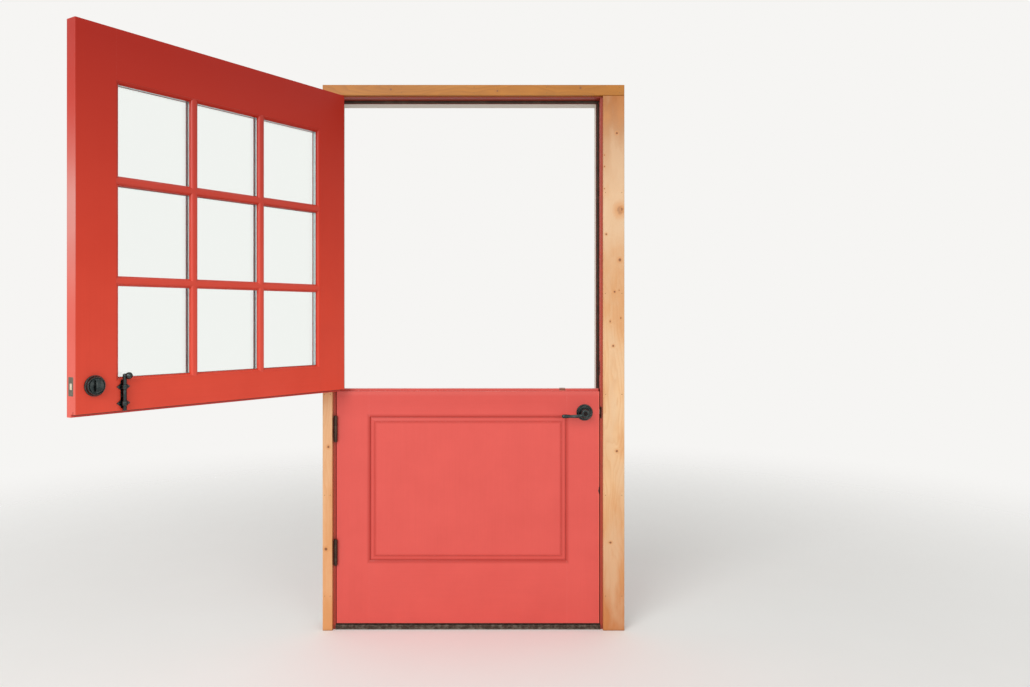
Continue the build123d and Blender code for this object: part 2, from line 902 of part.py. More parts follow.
with BuildPart() as meeting_seal:
    seal_drop = meeting_gap - seal_clearance
    with BuildSketch(Plane.YZ.offset(leaf_left + arris_radius)):
        with Locations((meeting_kerf_y, notch_level + seal_stem_depth / 2)):
            Rectangle(seal_stem_width, seal_stem_depth)
        with BuildLine():
            bulb = ThreePointArc(
                (meeting_kerf_y - meeting_seal_width / 2, notch_level),
                (meeting_kerf_y, notch_level - seal_drop),
                (meeting_kerf_y + meeting_seal_width / 2, notch_level),
            )
            Line(bulb @ 1, bulb @ 0)
        make_face()
    extrude(amount=leaf_width - bevel_run - 2 * arris_radius)
write(swung(meeting_seal.part), "meeting_seal")


# Lower leaf: framed round one raised panel, with the shiplap tongue on its inner half
def draw_lower_side(bottom):
    """The lower leaf's section seen from its end, from the given level to the tongue's top."""
    Polyline(
        (0, bottom),
        (leaf_thickness, bottom),
        (leaf_thickness, tongue_top),
        (lap_front, tongue_top),
        (lap_front, shoulder_level),
        (0, shoulder_level),
        close=True,
    )


def panel_stick(start, end, inward):
    """The rounded sticking on both faces of one side of the panel's opening."""
    along = Vector(*inward).cross(Vector(0, 1, 0))
    first, last = Vector(*start), Vector(*end)
    if (last - first).dot(along) < 0:
        first, last = last, first
    cheek = (leaf_thickness - groove_width) / 2
    with BuildPart() as run:
        with BuildSketch(Plane(origin=first, x_dir=inward, z_dir=along)):
            for face, turn in ((0, 1), (leaf_thickness, -1)):
                centre = (0, face + turn * panel_stick_radius)
                with BuildLine():
                    curve = CenterArc(centre, panel_stick_radius, -90 * turn, 90 * turn)
                    Polyline(
                        curve @ 1,
                        (panel_stick_radius, face + turn * cheek),
                        (0, face + turn * cheek),
                        curve @ 0,
                    )
                make_face()
        extrude(amount=(last - first).length)
    return run.part


panel_stick_left = panel_stick((panel_left, 0, panel_bottom), (panel_left, 0, panel_top), (1, 0, 0))
panel_stick_right = panel_stick((panel_right, 0, panel_bottom), (panel_right, 0, panel_top), (-1, 0, 0))


def panel_groove():
    """The groove that runs round the panel's opening, as one flat block."""
    return slab(
        (panel_left - groove_depth, mid_leaf - groove_width / 2, panel_bottom - groove_depth),
        (panel_right + groove_depth, mid_leaf + groove_width / 2, panel_top + groove_depth),
    )


with BuildPart() as lower_hinge_stile:
    with BuildSketch(Plane.YZ.offset(leaf_left)):
        with BuildLine():
            draw_lower_side(lower_bottom)
        make_face()
    extrude(amount=panel_stile_width)
    fillet(lower_hinge_stile.edges().filter_by(Axis.Z).group_by(Axis.X)[0], arris_radius)
    add(panel_stick_left)
    add(panel_groove(), mode=Mode.SUBTRACT)
    for level in lower_hinge_levels.values():
        add(hinge_plate(leaf_left, 1, level), mode=Mode.SUBTRACT)
write(lower_hinge_stile.part, "lower_hinge_stile")

with BuildPart() as lower_latch_stile:
    with BuildSketch(Plane.YZ.offset(panel_right)):
        with BuildLine():
            draw_lower_side(lower_bottom)
        make_face()
    extrude(amount=panel_stile_width)
    add(bevel_wedge(lower_bottom, tongue_top), mode=Mode.SUBTRACT)
    latch_faces = lower_latch_stile.faces().filter_by(lambda face: face.normal_at().X > 0.9)
    fillet(latch_faces.edges().filter_by(Axis.Z), arris_radius)
    add(panel_stick_right)
    add(panel_groove(), mode=Mode.SUBTRACT)
    add(lock_bores(latch_level), mode=Mode.SUBTRACT)
write(lower_latch_stile.part, "lower_latch_stile")


def keeper_strap():
    """The keeper's strap, let in flush over the top and front of the tongue."""
    half = keeper_width / 2
    with BuildPart() as strap:
        add(slab(
            (slide_x - half, lap_front, tongue_top - strap_thickness),
            (slide_x + half, leaf_thickness, tongue_top),
        ))
        add(slab(
            (slide_x - half, lap_front, tongue_top - strap_drop),
            (slide_x + half, lap_front + strap_thickness, tongue_top),
        ))
    return strap.part


with BuildPart() as lower_top_rail:
    with BuildSketch(Plane.YZ.offset(panel_left)):
        with BuildLine():
            draw_lower_side(panel_top)
        make_face()
    extrude(amount=panel_right - panel_left)
    add(panel_stick((panel_left, 0, panel_top), (panel_right, 0, panel_top), (0, 0, -1)))
    add(panel_stick_left, mode=Mode.SUBTRACT)
    add(panel_stick_right, mode=Mode.SUBTRACT)
    add(panel_groove(), mode=Mode.SUBTRACT)
    add(keeper_strap(), mode=Mode.SUBTRACT)
write(lower_top_rail.part, "lower_top_rail")

with BuildPart() as lower_bottom_rail:
    add(slab((panel_left, 0, lower_bottom), (panel_right, leaf_thickness, panel_bottom)))
    add(panel_stick((panel_left, 0, panel_bottom), (panel_right, 0, panel_bottom), (0, 0, 1)))
    add(panel_stick_left, mode=Mode.SUBTRACT)
    add(panel_stick_right, mode=Mode.SUBTRACT)
    add(panel_groove(), mode=Mode.SUBTRACT)
write(lower_bottom_rail.part, "lower_bottom_rail")

# Raised panel: a tongue in the groove, then a sloping band, a shoulder and the field
panel_centre = ((panel_left + panel_right) / 2, 0, (panel_bottom + panel_top) / 2)
panel_width = panel_right - panel_left
panel_height = panel_top - panel_bottom

with BuildPart() as raised_panel:
    tongue_reach = groove_depth - panel_side_play
    add(slab(
        (panel_left - tongue_reach, mid_leaf - groove_width / 2, panel_bottom - tongue_reach),
        (panel_right + tongue_reach, mid_leaf + groove_width / 2, panel_top + tongue_reach),
    ))
    band_outer_inset = panel_stick_radius + panel_joint
    band_inner_inset = band_outer_inset + band_width
    field_inset = band_inner_inset + field_shoulder_width
    levels = (
        (band_outer_inset, mid_leaf - groove_width / 2),
        (band_outer_inset, band_outer_depth),
        (band_inner_inset, band_inner_depth),
        (field_inset, field_depth),
    )
    for turn in (1, -1):
        for lower_step, higher_step in zip(levels, levels[1:]):
            for inset, depth in (lower_step, higher_step):
                y = depth if turn == 1 else leaf_thickness - depth
                level_plane = Plane(
                    origin=(panel_centre[0], y, panel_centre[2]),
                    x_dir=(1, 0, 0),
                    z_dir=(0, -1, 0),
                )
                with BuildSketch(level_plane):
                    Rectangle(panel_width - 2 * inset, panel_height - 2 * inset)
            loft()
write(raised_panel.part, "raised_panel")


# Bored locks: a tubular case behind each face plate, and the bolt that slides in it
def bolt_case(level):
    """A lock's face plate and tubular case, with the bolt's way through and the cross hole."""
    with BuildPart() as case:
        with BuildSketch(lock_edge):
            with Locations((0, level)):
                RectangleRounded(face_plate_width, face_plate_height, face_plate_radius)
        extrude(amount=-face_plate_thickness)
        with BuildSketch(Plane.YZ.offset(lock_x - case_tail)):
            with Locations((mid_leaf, level)):
                Circle(case_radius)
        extrude(amount=backset + case_tail - bevel_run)
        with BuildSketch(Plane.YZ.offset(lock_x - case_tail + case_end_wall)):
            with Locations((mid_leaf, level)):
                RectangleRounded(
                    bolt_width + 2 * bolt_clearance,
                    bolt_height + 2 * bolt_clearance,
                    bolt_radius,
                )
        extrude(amount=backset + case_tail, mode=Mode.SUBTRACT)
        with BuildSketch(Plane.XZ):
            with Locations((lock_x, level)):
                Circle(case_cross_hole)
        extrude(amount=-leaf_thickness, mode=Mode.SUBTRACT)
    return case.part


def bolt_bar(level, front_x, length):
    """A plain bolt with rounded corners, its front face at front_x."""
    with BuildPart() as bar:
        with BuildSketch(Plane.YZ.offset(front_x - length)):
            with Locations((mid_leaf, level)):
                RectangleRounded(bolt_width, bolt_height, bolt_radius)
        extrude(amount=length)
    return bar.part


write(bolt_case(latch_level), "latch_case")
write(swung(bolt_case(deadbolt_level)), "deadbolt_case")

edge_at_bolt = leaf_right - bevel_run / 2

with BuildPart() as latch_bolt:
    nose = edge_at_bolt + latch_throw
    add(bolt_bar(latch_level, nose, latch_body_length))
    with BuildSketch(Plane.XY.offset(latch_level - bolt_height / 2)):
        with BuildLine():
            Polyline(
                (edge_at_bolt + 1, mid_leaf + bolt_width / 2),
                (nose, mid_leaf - bolt_width / 2 + 2),
                (nose, mid_leaf + bolt_width / 2),
                close=True,
            )
        make_face()
    extrude(amount=bolt_height, mode=Mode.SUBTRACT)
write(latch_bolt.part, "latch_bolt")

deadbolt_length = deadbolt_throw + deadbolt_held_length
deadbolt = bolt_bar(deadbolt_level, edge_at_bolt + deadbolt_proud, deadbolt_length)
write(swung(deadbolt), "deadbolt")


# Lever set: a stepped rose on each face, and a lever with a round hub and a bowed arm
def face_plane(outer, level):
    """The leaf's outer or inner face at the lock, with Z pointing away from the leaf."""
    if outer:
        return Plane(origin=(lock_x, 0, level), x_dir=(1, 0, 0), z_dir=(0, -1, 0))
    return Plane(origin=(lock_x, leaf_thickness, level), x_dir=(-1, 0, 0), z_dir=(0, 1, 0))


def spun(plane, draw):
    """A turned solid: draw makes its half section as radius and height over the plane."""
    side = Plane(origin=plane.origin, x_dir=plane.x_dir, z_dir=plane.x_dir.cross(plane.z_dir))
    with BuildPart() as turned:
        with BuildSketch(side):
            with BuildLine():
                draw()
            make_face()
        revolve(axis=Axis(plane.origin, plane.z_dir))
    return turned.part


def draw_rose():
    """Half section of the lever's rose: flange, raised ring and dished middle."""
    bore = hub_radius / 2
    Polyline(
        (bore, 0),
        (rose_radius, 0),
        (rose_radius, rose_flange - 1.5),
        (rose_radius - 1.5, rose_flange),
        (rose_ring_radius + 1.5, rose_flange),
        (rose_ring_radius, rose_ring_height - 1.5),
        (rose_ring_radius - 1.5, rose_ring_height),
        (rose_dish_radius + 1, rose_ring_height),
        (rose_dish_radius, rose_ring_height - rose_dish_depth),
        (bore, rose_ring_height - rose_dish_depth),
        close=True,
    )


rose_front = rose_ring_height - rose_dish_depth
hub_back = rose_front + running_gap


def draw_hub():
    """Half section of a lever's hub, with its neck and spindle running into the leaf."""
    neck = hub_radius / 2 - running_gap
    shoulder = hub_front - hub_edge_radius
    front_curve = CenterArc((hub_front_radius - hub_edge_radius, shoulder), hub_edge_radius, 0, 90)
    Polyline(
        (0, -mid_leaf + 0.1),
        (spindle_radius, -mid_leaf + 0.1),
        (spindle_radius, -1),
        (neck, -1),
        (neck, hub_back),
        (hub_radius, hub_back),
        front_curve @ 0,
    )
    Polyline(front_curve @ 1, (0, hub_front), (0, -mid_leaf + 0.1))


def lever_arm(plane, along):
    """The lever's arm, lofted through ovals from the hub to the rounded tip.

    Along is 1 or -1: the way of the latch's far side in the plane's own X.
    """
    length = lever_length
    stations = (
        (5, -0.5, lever_stand_off - 4, 20, 12),
        (20, -0.82, lever_stand_off - 1.5, 16, 11.5),
        (38, -1, lever_stand_off, lever_height, lever_depth),
        (66, -1, lever_stand_off, lever_height - 0.5, lever_depth - 0.5),
        (length - 5, -1, lever_stand_off - 1, lever_height + 0.5, lever_depth),
        (length - 1.2, -1, lever_stand_off - 1.2, lever_height - 3.5, lever_depth - 3),
        (length, -1, lever_stand_off - 1.2, lever_height - 8, lever_depth - 6.5),
    )
    normal = plane.z_dir
    across = plane.x_dir * along
    with BuildPart() as arm:
        for reach, drop, stand, tall, deep in stations:
            centre = plane.origin + across * reach + normal * stand + Vector(0, 0, drop * lever_drop)
            with BuildSketch(Plane(origin=centre, x_dir=normal, z_dir=across)):
                Ellipse(deep / 2, tall / 2)
        loft()
    return arm.part


def lever(outer):
    """One lever: hub and arm in one piece, bored in front for the cylinder or the button."""
    plane = face_plane(outer, latch_level)
    with BuildPart() as handle:
        add(spun(plane, draw_hub))
        add(lever_arm(plane, -1 if outer else 1))
        bore = cylinder_radius if outer else button_radius
        with BuildSketch(plane.offset(hub_front)):
            Circle(bore + (0 if outer else running_fit))
        extrude(amount=-cylinder_depth, mode=Mode.SUBTRACT)
    return handle.part


for outer, word in ((True, "outside"), (False, "inside")):
    write(spun(face_plane(outer, latch_level), draw_rose), f"{word}_rose")
    write(lever(outer), f"{word}_lever")

with BuildPart() as key_cylinder:
    front = face_plane(True, latch_level).offset(hub_front - cylinder_depth)
    with BuildSketch(front):
        Circle(cylinder_radius)
    extrude(amount=cylinder_depth - 1)
    with BuildSketch(front.offset(cylinder_depth - 1)):
        Rectangle(keyway_width, keyway_height)
    extrude(amount=-keyway_depth, mode=Mode.SUBTRACT)
write(key_cylinder.part, "key_cylinder")

with BuildPart() as turn_button:
    front = face_plane(False, latch_level).offset(hub_front - cylinder_depth)
    with BuildSketch(front):
        Circle(button_radius)
    extrude(amount=cylinder_depth + 2)
    with BuildSketch(front.offset(cylinder_depth + 2)):
        SlotOverall(2 * button_radius - 1, button_tab_width, rotation=90)
    extrude(amount=button_proud)
write(turn_button.part, "turn_button")


# Deadbolt trim: a stepped rose with a thumb turn inside, a tapered cylinder collar outside
def draw_dead_rose():
    """Half section of the deadbolt's inner rose."""
    bore = thumb_neck_radius + running_fit
    Polyline(
        (bore, 0),
        (dead_rose_radius, 0),
        (dead_rose_radius, dead_rose_step),
        (dead_rose_radius - 2, dead_rose_step + 1.5),
        (dead_dial_radius + 1.5, dead_rose_height),
        (dead_dial_radius, dead_rose_height),
        (dead_dial_radius - 1.5, dead_rose_height - dead_dial_depth),
        (bore, dead_rose_height - dead_dial_depth),
        close=True,
    )


write(swung(spun(face_plane(False, deadbolt_level), draw_dead_rose)), "deadbolt_rose")

with BuildPart() as thumb_turn:
    inner_face = face_plane(False, deadbolt_level)
    dial = dead_rose_height - dead_dial_depth
    with BuildSketch(inner_face.offset(-mid_leaf + case_cross_hole)):
        Circle(spindle_radius)
    extrude(amount=mid_leaf - case_cross_hole)
    with BuildSketch(inner_face):
        Circle(thumb_neck_radius)
    extrude(amount=dial + running_gap)
    with BuildSketch(inner_face.offset(dial + running_gap)):
        Circle(thumb_height / 2)
    extrude(amount=thumb_dial_thickness)
    with BuildSketch(Plane(
        origin=inner_face.origin - inner_face.x_dir * thumb_width / 2,
        x_dir=(0, 0, 1),
        z_dir=inner_face.x_dir,
    )):
        with BuildLine():
            foot = dial + running_gap + thumb_dial_thickness
            half = thumb_height / 2 - 1
            low = foot + thumb_dial_thickness
            crown = ThreePointArc((-half, low), (0, thumb_proud + thumb_crown_rise), (half, low))
            Polyline(crown @ 1, (half, foot - 1), (-half, foot - 1), crown @ 0)
        make_face()
    extrude(amount=thumb_width)
write(swung(thumb_turn.part), "thumb_turn")


def draw_dead_collar():
    """Half section of the deadbolt's tapered outer collar."""
    Polyline(
        (0, -dead_spigot_depth),
        (cylinder_radius, -dead_spigot_depth),
        (cylinder_radius, 0),
        (dead_rose_radius, 0),
        (dead_rose_radius, dead_rose_step),
        (dead_collar_front_radius, dead_collar_height - 1.5),
        (dead_collar_front_radius - 1.5, dead_collar_height),
        (cylinder_radius, dead_collar_height),
        (cylinder_radius, dead_collar_height - cylinder_depth),
        (0, dead_collar_height - cylinder_depth),
        close=True,
    )


write(swung(spun(face_plane(True, deadbolt_level), draw_dead_collar)), "deadbolt_collar")

with BuildPart() as deadbolt_cylinder:
    seat = face_plane(True, deadbolt_level).offset(dead_collar_height - cylinder_depth)
    with BuildSketch(seat):
        Circle(cylinder_radius)
    extrude(amount=cylinder_depth - 1)
    with BuildSketch(seat.offset(cylinder_depth - 1)):
        Rectangle(keyway_width, keyway_height)
    extrude(amount=-keyway_depth, mode=Mode.SUBTRACT)
write(swung(deadbolt_cylinder.part), "deadbolt_cylinder")

# Surface bolt: a plate with two pairs of pointed ears, two guides and a round rod
slide_face = Plane(
    origin=(slide_x, leaf_thickness, slide_plate_foot), x_dir=(-1, 0, 0), z_dir=(0, 1, 0)
)
ear_offsets = (lower_ear_offset, upper_ear_offset)

with BuildPart() as slide_bolt_plate:
    with BuildSketch(slide_face):
        with Locations((0, slide_plate_length / 2)):
            RectangleRounded(slide_plate_width, slide_plate_length, slide_plate_width / 2 - 0.1)
        for offset in ear_offsets:
            for side in (1, -1):
                with BuildLine():
                    root = side * slide_plate_width / 2.4
                    tip = side * ear_width / 2
                    upper = ThreePointArc(
                        (root, offset + ear_height / 2),
                        (side * ear_width / 3, offset + ear_height / 4.6),
                        (tip, offset),
                    )
                    lower = ThreePointArc(
                        (root, offset - ear_height / 2),
                        (side * ear_width / 3, offset - ear_height / 4.6),
                        (tip, offset),
                    )
                    Line(upper @ 0, lower @ 0)
                make_face()
    extrude(amount=slide_plate_thickness)
    for offset in ear_offsets:
        with BuildSketch(Plane.XY.offset(slide_plate_foot + offset - guide_height / 2)):
            with Locations((slide_x, slide_y)):
                Circle(rod_radius + guide_wall)
            with Locations((slide_x, leaf_thickness + rod_stand_off / 2)):
                Rectangle(2 * (rod_radius + guide_wall), rod_stand_off)
        extrude(amount=guide_height)
    with BuildSketch(Plane.XY.offset(slide_plate_foot - 1)):
        with Locations((slide_x, slide_y)):
            Circle(rod_radius + running_fit)
    extrude(amount=slide_plate_length + 2, mode=Mode.SUBTRACT)
write(swung(slide_bolt_plate.part), "slide_bolt_plate")

rod_foot = notch_level + rod_lift
rod_top = slide_plate_foot + slide_plate_length + rod_top_overrun

with BuildPart() as slide_bolt_rod:
    with BuildSketch(Plane.XY.offset(rod_foot)):
        with Locations((slide_x, slide_y)):
            Circle(rod_radius)
    extrude(amount=rod_top - rod_foot)
    chamfer(slide_bolt_rod.faces().sort_by(Axis.Z)[0].edges(), 1)
    fillet(slide_bolt_rod.faces().sort_by(Axis.Z)[-1].edges(), rod_radius - 1)
    knob_centre = (slide_x, slide_y, rod_top - rod_radius - 1)
    knob_axis = Plane(origin=knob_centre, x_dir=(0, 0, 1), z_dir=(-1, knob_lean, 0))
    with BuildSketch(knob_axis):
        Circle(knob_neck_radius)
    extrude(amount=knob_stand_off)
    with Locations(knob_axis.offset(knob_stand_off)):
        Sphere(knob_radius)
write(swung(slide_bolt_rod.part), "slide_bolt_rod")

# Keeper: a bored block on the lower leaf's inner face with a strap over the tongue
with BuildPart() as bolt_keeper:
    keeper_reach = rod_stand_off + rod_radius + keeper_wall
    keeper_height = rod_throw - rod_lift - meeting_gap + keeper_foot_wall
    add(slab(
        (slide_x - keeper_width / 2, leaf_thickness, tongue_top - keeper_height),
        (slide_x + keeper_width / 2, leaf_thickness + keeper_reach, tongue_top),
    ))
    fillet(
        bolt_keeper.edges().filter_by(Axis.Z).group_by(Axis.Y)[-1],
        keeper_width / 4,
    )
    with BuildSketch(Plane.XY.offset(tongue_top - keeper_height)):
        with Locations((slide_x, slide_y)):
            Circle(rod_radius + rod_hole_clearance)
    extrude(amount=keeper_height, mode=Mode.SUBTRACT)
    add(keeper_strap())
write(bolt_keeper.part, "bolt_keeper")
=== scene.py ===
"""Looks of a dutch stable door hung in its timber frame.

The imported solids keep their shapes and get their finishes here. Screws and nails are added
as small meshes, then the studio and the camera. Every length is in millimetres until it is
handed to Blender, whose own are metres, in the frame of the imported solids.
"""

import logging
import math
import random
from abc import ABC, abstractmethod
from dataclasses import dataclass, field
from enum import Enum

import bmesh
import bpy
from mathutils import Matrix, Vector


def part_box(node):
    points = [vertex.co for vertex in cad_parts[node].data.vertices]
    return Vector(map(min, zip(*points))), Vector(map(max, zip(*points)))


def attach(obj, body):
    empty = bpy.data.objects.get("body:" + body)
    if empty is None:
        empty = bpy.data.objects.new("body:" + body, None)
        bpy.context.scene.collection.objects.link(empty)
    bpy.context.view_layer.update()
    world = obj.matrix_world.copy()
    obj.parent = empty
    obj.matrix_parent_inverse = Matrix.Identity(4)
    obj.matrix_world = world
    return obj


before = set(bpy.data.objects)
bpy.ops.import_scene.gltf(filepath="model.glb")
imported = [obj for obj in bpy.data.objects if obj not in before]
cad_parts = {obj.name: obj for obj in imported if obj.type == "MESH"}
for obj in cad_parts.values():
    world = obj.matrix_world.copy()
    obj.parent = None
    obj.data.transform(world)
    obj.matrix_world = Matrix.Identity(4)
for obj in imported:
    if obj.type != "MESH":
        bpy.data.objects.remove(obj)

Socket = bpy.types.NodeSocket
Mesh = bmesh.types.BMesh
Loop = list[bmesh.types.BMVert]
Span = tuple[float, float]
Triple = tuple[float, float, float]
Inputs = dict | tuple
Coats = dict[str, tuple[str, ...]]

log = logging.getLogger("stable_door")
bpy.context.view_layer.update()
METRE = 1000.0


def linear(code: str) -> tuple[float, float, float, float]:
    """Turns an sRGB colour into the linear one that a shader takes.

    Args:
        code: the colour as "#rrggbb".

    Returns:
        Linear red, green, blue and a full alpha.
    """
    shares = [int(code[i : i + 2], 16) / 255 for i in (1, 3, 5)]
    straight = [s / 12.92 if s <= 0.04045 else ((s + 0.055) / 1.055) ** 2.4 for s in shares]
    return (straight[0], straight[1], straight[2], 1.0)


def fill(node: bpy.types.Node, inputs: Inputs) -> None:
    """Sets or links a node's inputs.

    Args:
        node: the node.
        inputs: a number, a colour as "#rrggbb" or another node's output for each input, by
            its name or number in a dict, or in a tuple in the node's own order.
    """
    for key, value in (inputs if isinstance(inputs, dict) else dict(enumerate(inputs))).items():
        if isinstance(value, Socket):
            node.id_data.links.new(value, node.inputs[key])
        else:
            node.inputs[key].default_value = linear(value) if isinstance(value, str) else value


def add(tree: bpy.types.NodeTree, kind: str, inputs: Inputs = (), **settings: object) -> bpy.types.Node:
    """Adds one shader node with its settings and links.

    Args:
        tree: the node tree that takes it.
        kind: the node's type, without the ShaderNode in front.
        inputs: its inputs, as fill takes them.
        **settings: the node's own properties.

    Returns:
        The new node.
    """
    made = tree.nodes.new("ShaderNode" + kind)
    for name, value in settings.items():
        setattr(made, name, value)
    fill(made, inputs)
    return made


class Grain(Enum):
    """Which way a timber member runs, and so its brush strokes and its fibres."""

    UPRIGHT = "upright"
    LEVEL = "level"

    def lengths(self, across: float, along: float) -> Triple:
        """How far a feature of these two sizes reaches in X, Y and Z."""
        return (across, across, along) if self is Grain.UPRIGHT else (along, across, across)


@dataclass(frozen=True)
class Hanging:
    """The pin line that both leaves turn on, and how far the upper one stands open."""

    pin_x: float = -535.0
    pin_y: float = -8.0
    open_degrees: float = 125.15

    def opened(self) -> Matrix:
        """Takes a point of the shut upper leaf to where it stands, in metres."""
        pin = Matrix.Translation((self.pin_x / METRE, self.pin_y / METRE, 0))
        return pin @ Matrix.Rotation(-math.radians(self.open_degrees), 4, "Z") @ pin.inverted()


HANGING = Hanging()


@dataclass(frozen=True)
class Tint:
    """A colour laid over a surface as far as a value says.

    With a span, the colour comes in from the span's first level and has its whole share at
    the second. Without one, the value itself is the share.
    """

    colour: str | Socket
    value: Socket
    span: Span | None = None
    share: float = 1.0


@dataclass(frozen=True)
class Spot:
    """A knot in a board or a chip in a paint film."""

    x: float
    z: float
    radius: float
    y: float = -19.0
    tall: float = 1.0
    core: float = 0.9
    depth_share: float = 0.15
    ragged: float = 0.7


class Surface:
    """A material being made: its nodes, its shader and the point that it is asked for.

    The point and its x, y and z are in millimetres.
    """

    def __init__(self, name: str, swung: bool = False) -> None:
        """Starts an empty material.

        Args:
            name: the material's name.
            swung: whether its points are taken back to the shut upper leaf first.
        """
        self.material = bpy.data.materials.new(name)
        self.material.use_nodes = True
        self.tree = self.material.node_tree
        self.tree.nodes.clear()
        self.shader = add(self.tree, "BsdfPrincipled")
        self.end = add(self.tree, "OutputMaterial", {"Surface": self.shader.outputs["BSDF"]})
        point = self.node("TexCoord", out="Object")
        if swung:
            back = HANGING.opened().inverted()
            turn = {"Vector": point, "Location": back.to_translation(), "Rotation": back.to_euler()}
            point = self.node("Mapping", turn)
        self.point = self.node("VectorMath", (point, (METRE, METRE, METRE)), operation="MULTIPLY")
        self.x, self.y, self.z = add(self.tree, "SeparateXYZ", (self.point,)).outputs

    def node(self, kind: str, inputs: Inputs = (), out: int | str = 0, **settings: object) -> Socket:
        """Adds one node to this material, as add does, and gives the output that out names."""
        return add(self.tree, kind, inputs, **settings).outputs[out]

    def give(self, *reliefs: tuple[Socket, float, float], **sockets: object) -> None:
        """Gives the shader its relief and sets or links its own sockets.

        Args:
            *reliefs: each layer's height, its strength and how far it stands out, lowest first.
            **sockets: the sockets, with underscores for the spaces in a name.
        """
        fill(self.shader, {name.replace("_", " "): value for name, value in sockets.items()})
        below = {}
        for height, strength, proud in reliefs:
            layer = {"Height": height, "Strength": strength, "Distance": proud / METRE}
            below = {"Normal": self.node("Bump", layer | below)}
        fill(self.shader, below)

    def off(self, value: Socket, level: float) -> Socket:
        """How far a value lies from a level, on either side."""
        past = self.node("Math", (value, level), operation="SUBTRACT")
        return self.node("Math", (past,), operation="ABSOLUTE")

    def uneven(self, size: float | Triple, detail: float, roughness: float = 0.5) -> Socket:
        """A slow, uneven value around a half.

        Args:
            size: how large its features are, one length or one each for X, Y and Z.
            detail: how many finer layers it has.
            roughness: how strong those are.

        Returns:
            The value.
        """
        lengths = size if isinstance(size, tuple) else (size, size, size)
        shares = [1 / length for length in lengths]
        at = self.node("VectorMath", (self.point, shares), operation="MULTIPLY")
        return self.node("TexNoise", {"Vector": at, "Scale": 1.0, "Detail": detail, "Roughness": roughness})

    def tinted(self, base: str | Socket, *tints: Tint) -> Socket:
        """Lays colours over a colour, in their order.

        Args:
            base: the colour below.
            *tints: what comes over it.

        Returns:
            The colour that is seen.
        """
        for tint in tints:
            share = tint.value
            if tint.span:
                share = self.node("MapRange", (share, *tint.span, 0.0, tint.share))
            base = self.node("Mix", {0: share, 6: base, 7: tint.colour}, out=2, data_type="RGBA")
        return base

    def hollow(self, reach: float, span: Span, share: float) -> Socket:
        """How deep each point lies between what stands within reach, from none to share."""
        near = self.node("AmbientOcclusion", {"Distance": reach / METRE}, out="AO", samples=2)
        return self.node("MapRange", (near, *span, 0.0, share))

    def arris(self, radius: float, span: Span, share: float) -> Socket:
        """How near each point is to an arris, where a rounded normal leaves the face's own.

        Args:
            radius: how far from the arris the normal turns.
            span: how alike the two normals are where the share begins and where it is whole.
            share: the share on the arris itself.

        Returns:
            The share, 0 on a flat face.
        """
        rounded = self.node("Bevel", {"Radius": radius / METRE}, samples=2)
        own = self.node("NewGeometry", out="Normal")
        alike = self.node("VectorMath", (rounded, own), out="Value", operation="DOT_PRODUCT")
        return self.node("MapRange", (alike, *span, 0.0, share))

    def spots(self, places: tuple[Spot, ...], rough: Socket) -> list[Socket]:
        """How far each point lies from each spot, in that spot's radii.

        Args:
            places: the spots.
            rough: a noise around a half that makes their outlines uneven.

        Returns:
            One value for each spot, 0 at its centre and about 1 at its edge.
        """
        found = []
        for spot in places:
            away = self.node("VectorMath", (self.point, (spot.x, spot.y, spot.z)), operation="SUBTRACT")
            shares = (1 / spot.radius, spot.depth_share / spot.radius, 1 / (spot.radius * spot.tall))
            shaped = self.node("VectorMath", (away, shares), operation="MULTIPLY")
            reach = self.node("VectorMath", (shaped,), out="Value", operation="LENGTH")
            reach = self.node("Math", (rough, spot.ragged, reach), operation="MULTIPLY_ADD")
            found.append(self.node("Math", (reach, spot.ragged / 2), operation="SUBTRACT"))
        return found


@dataclass(frozen=True)
class Opening:
    """A rectangle in the leaf whose mouldings hold lines of shade.

    Each line has its inset from the rectangle, its width and its depth as a share.
    """

    half_width: float
    low: float
    high: float
    lines: tuple[Triple, ...]


PANEL_OPENING = Opening(
    half_width=401.4, low=274.0, high=864.0, lines=((2.4, 14.0, 0.62), (22.7, 12.0, 0.42))
)


@dataclass(frozen=True)
class Finish(ABC):
    """One real material and how its surface was made."""

    name: str
    swung: bool = field(default=False, kw_only=True)

    def build(self) -> bpy.types.Material:
        """Makes the Blender material.

        Returns:
            The material.
        """
        surface = Surface(self.name, self.swung)
        self.lay(surface)
        return surface.material

    @abstractmethod
    def lay(self, s: Surface) -> None:
        """Lays the finish on a surface.

        Args:
            s: the material.
        """


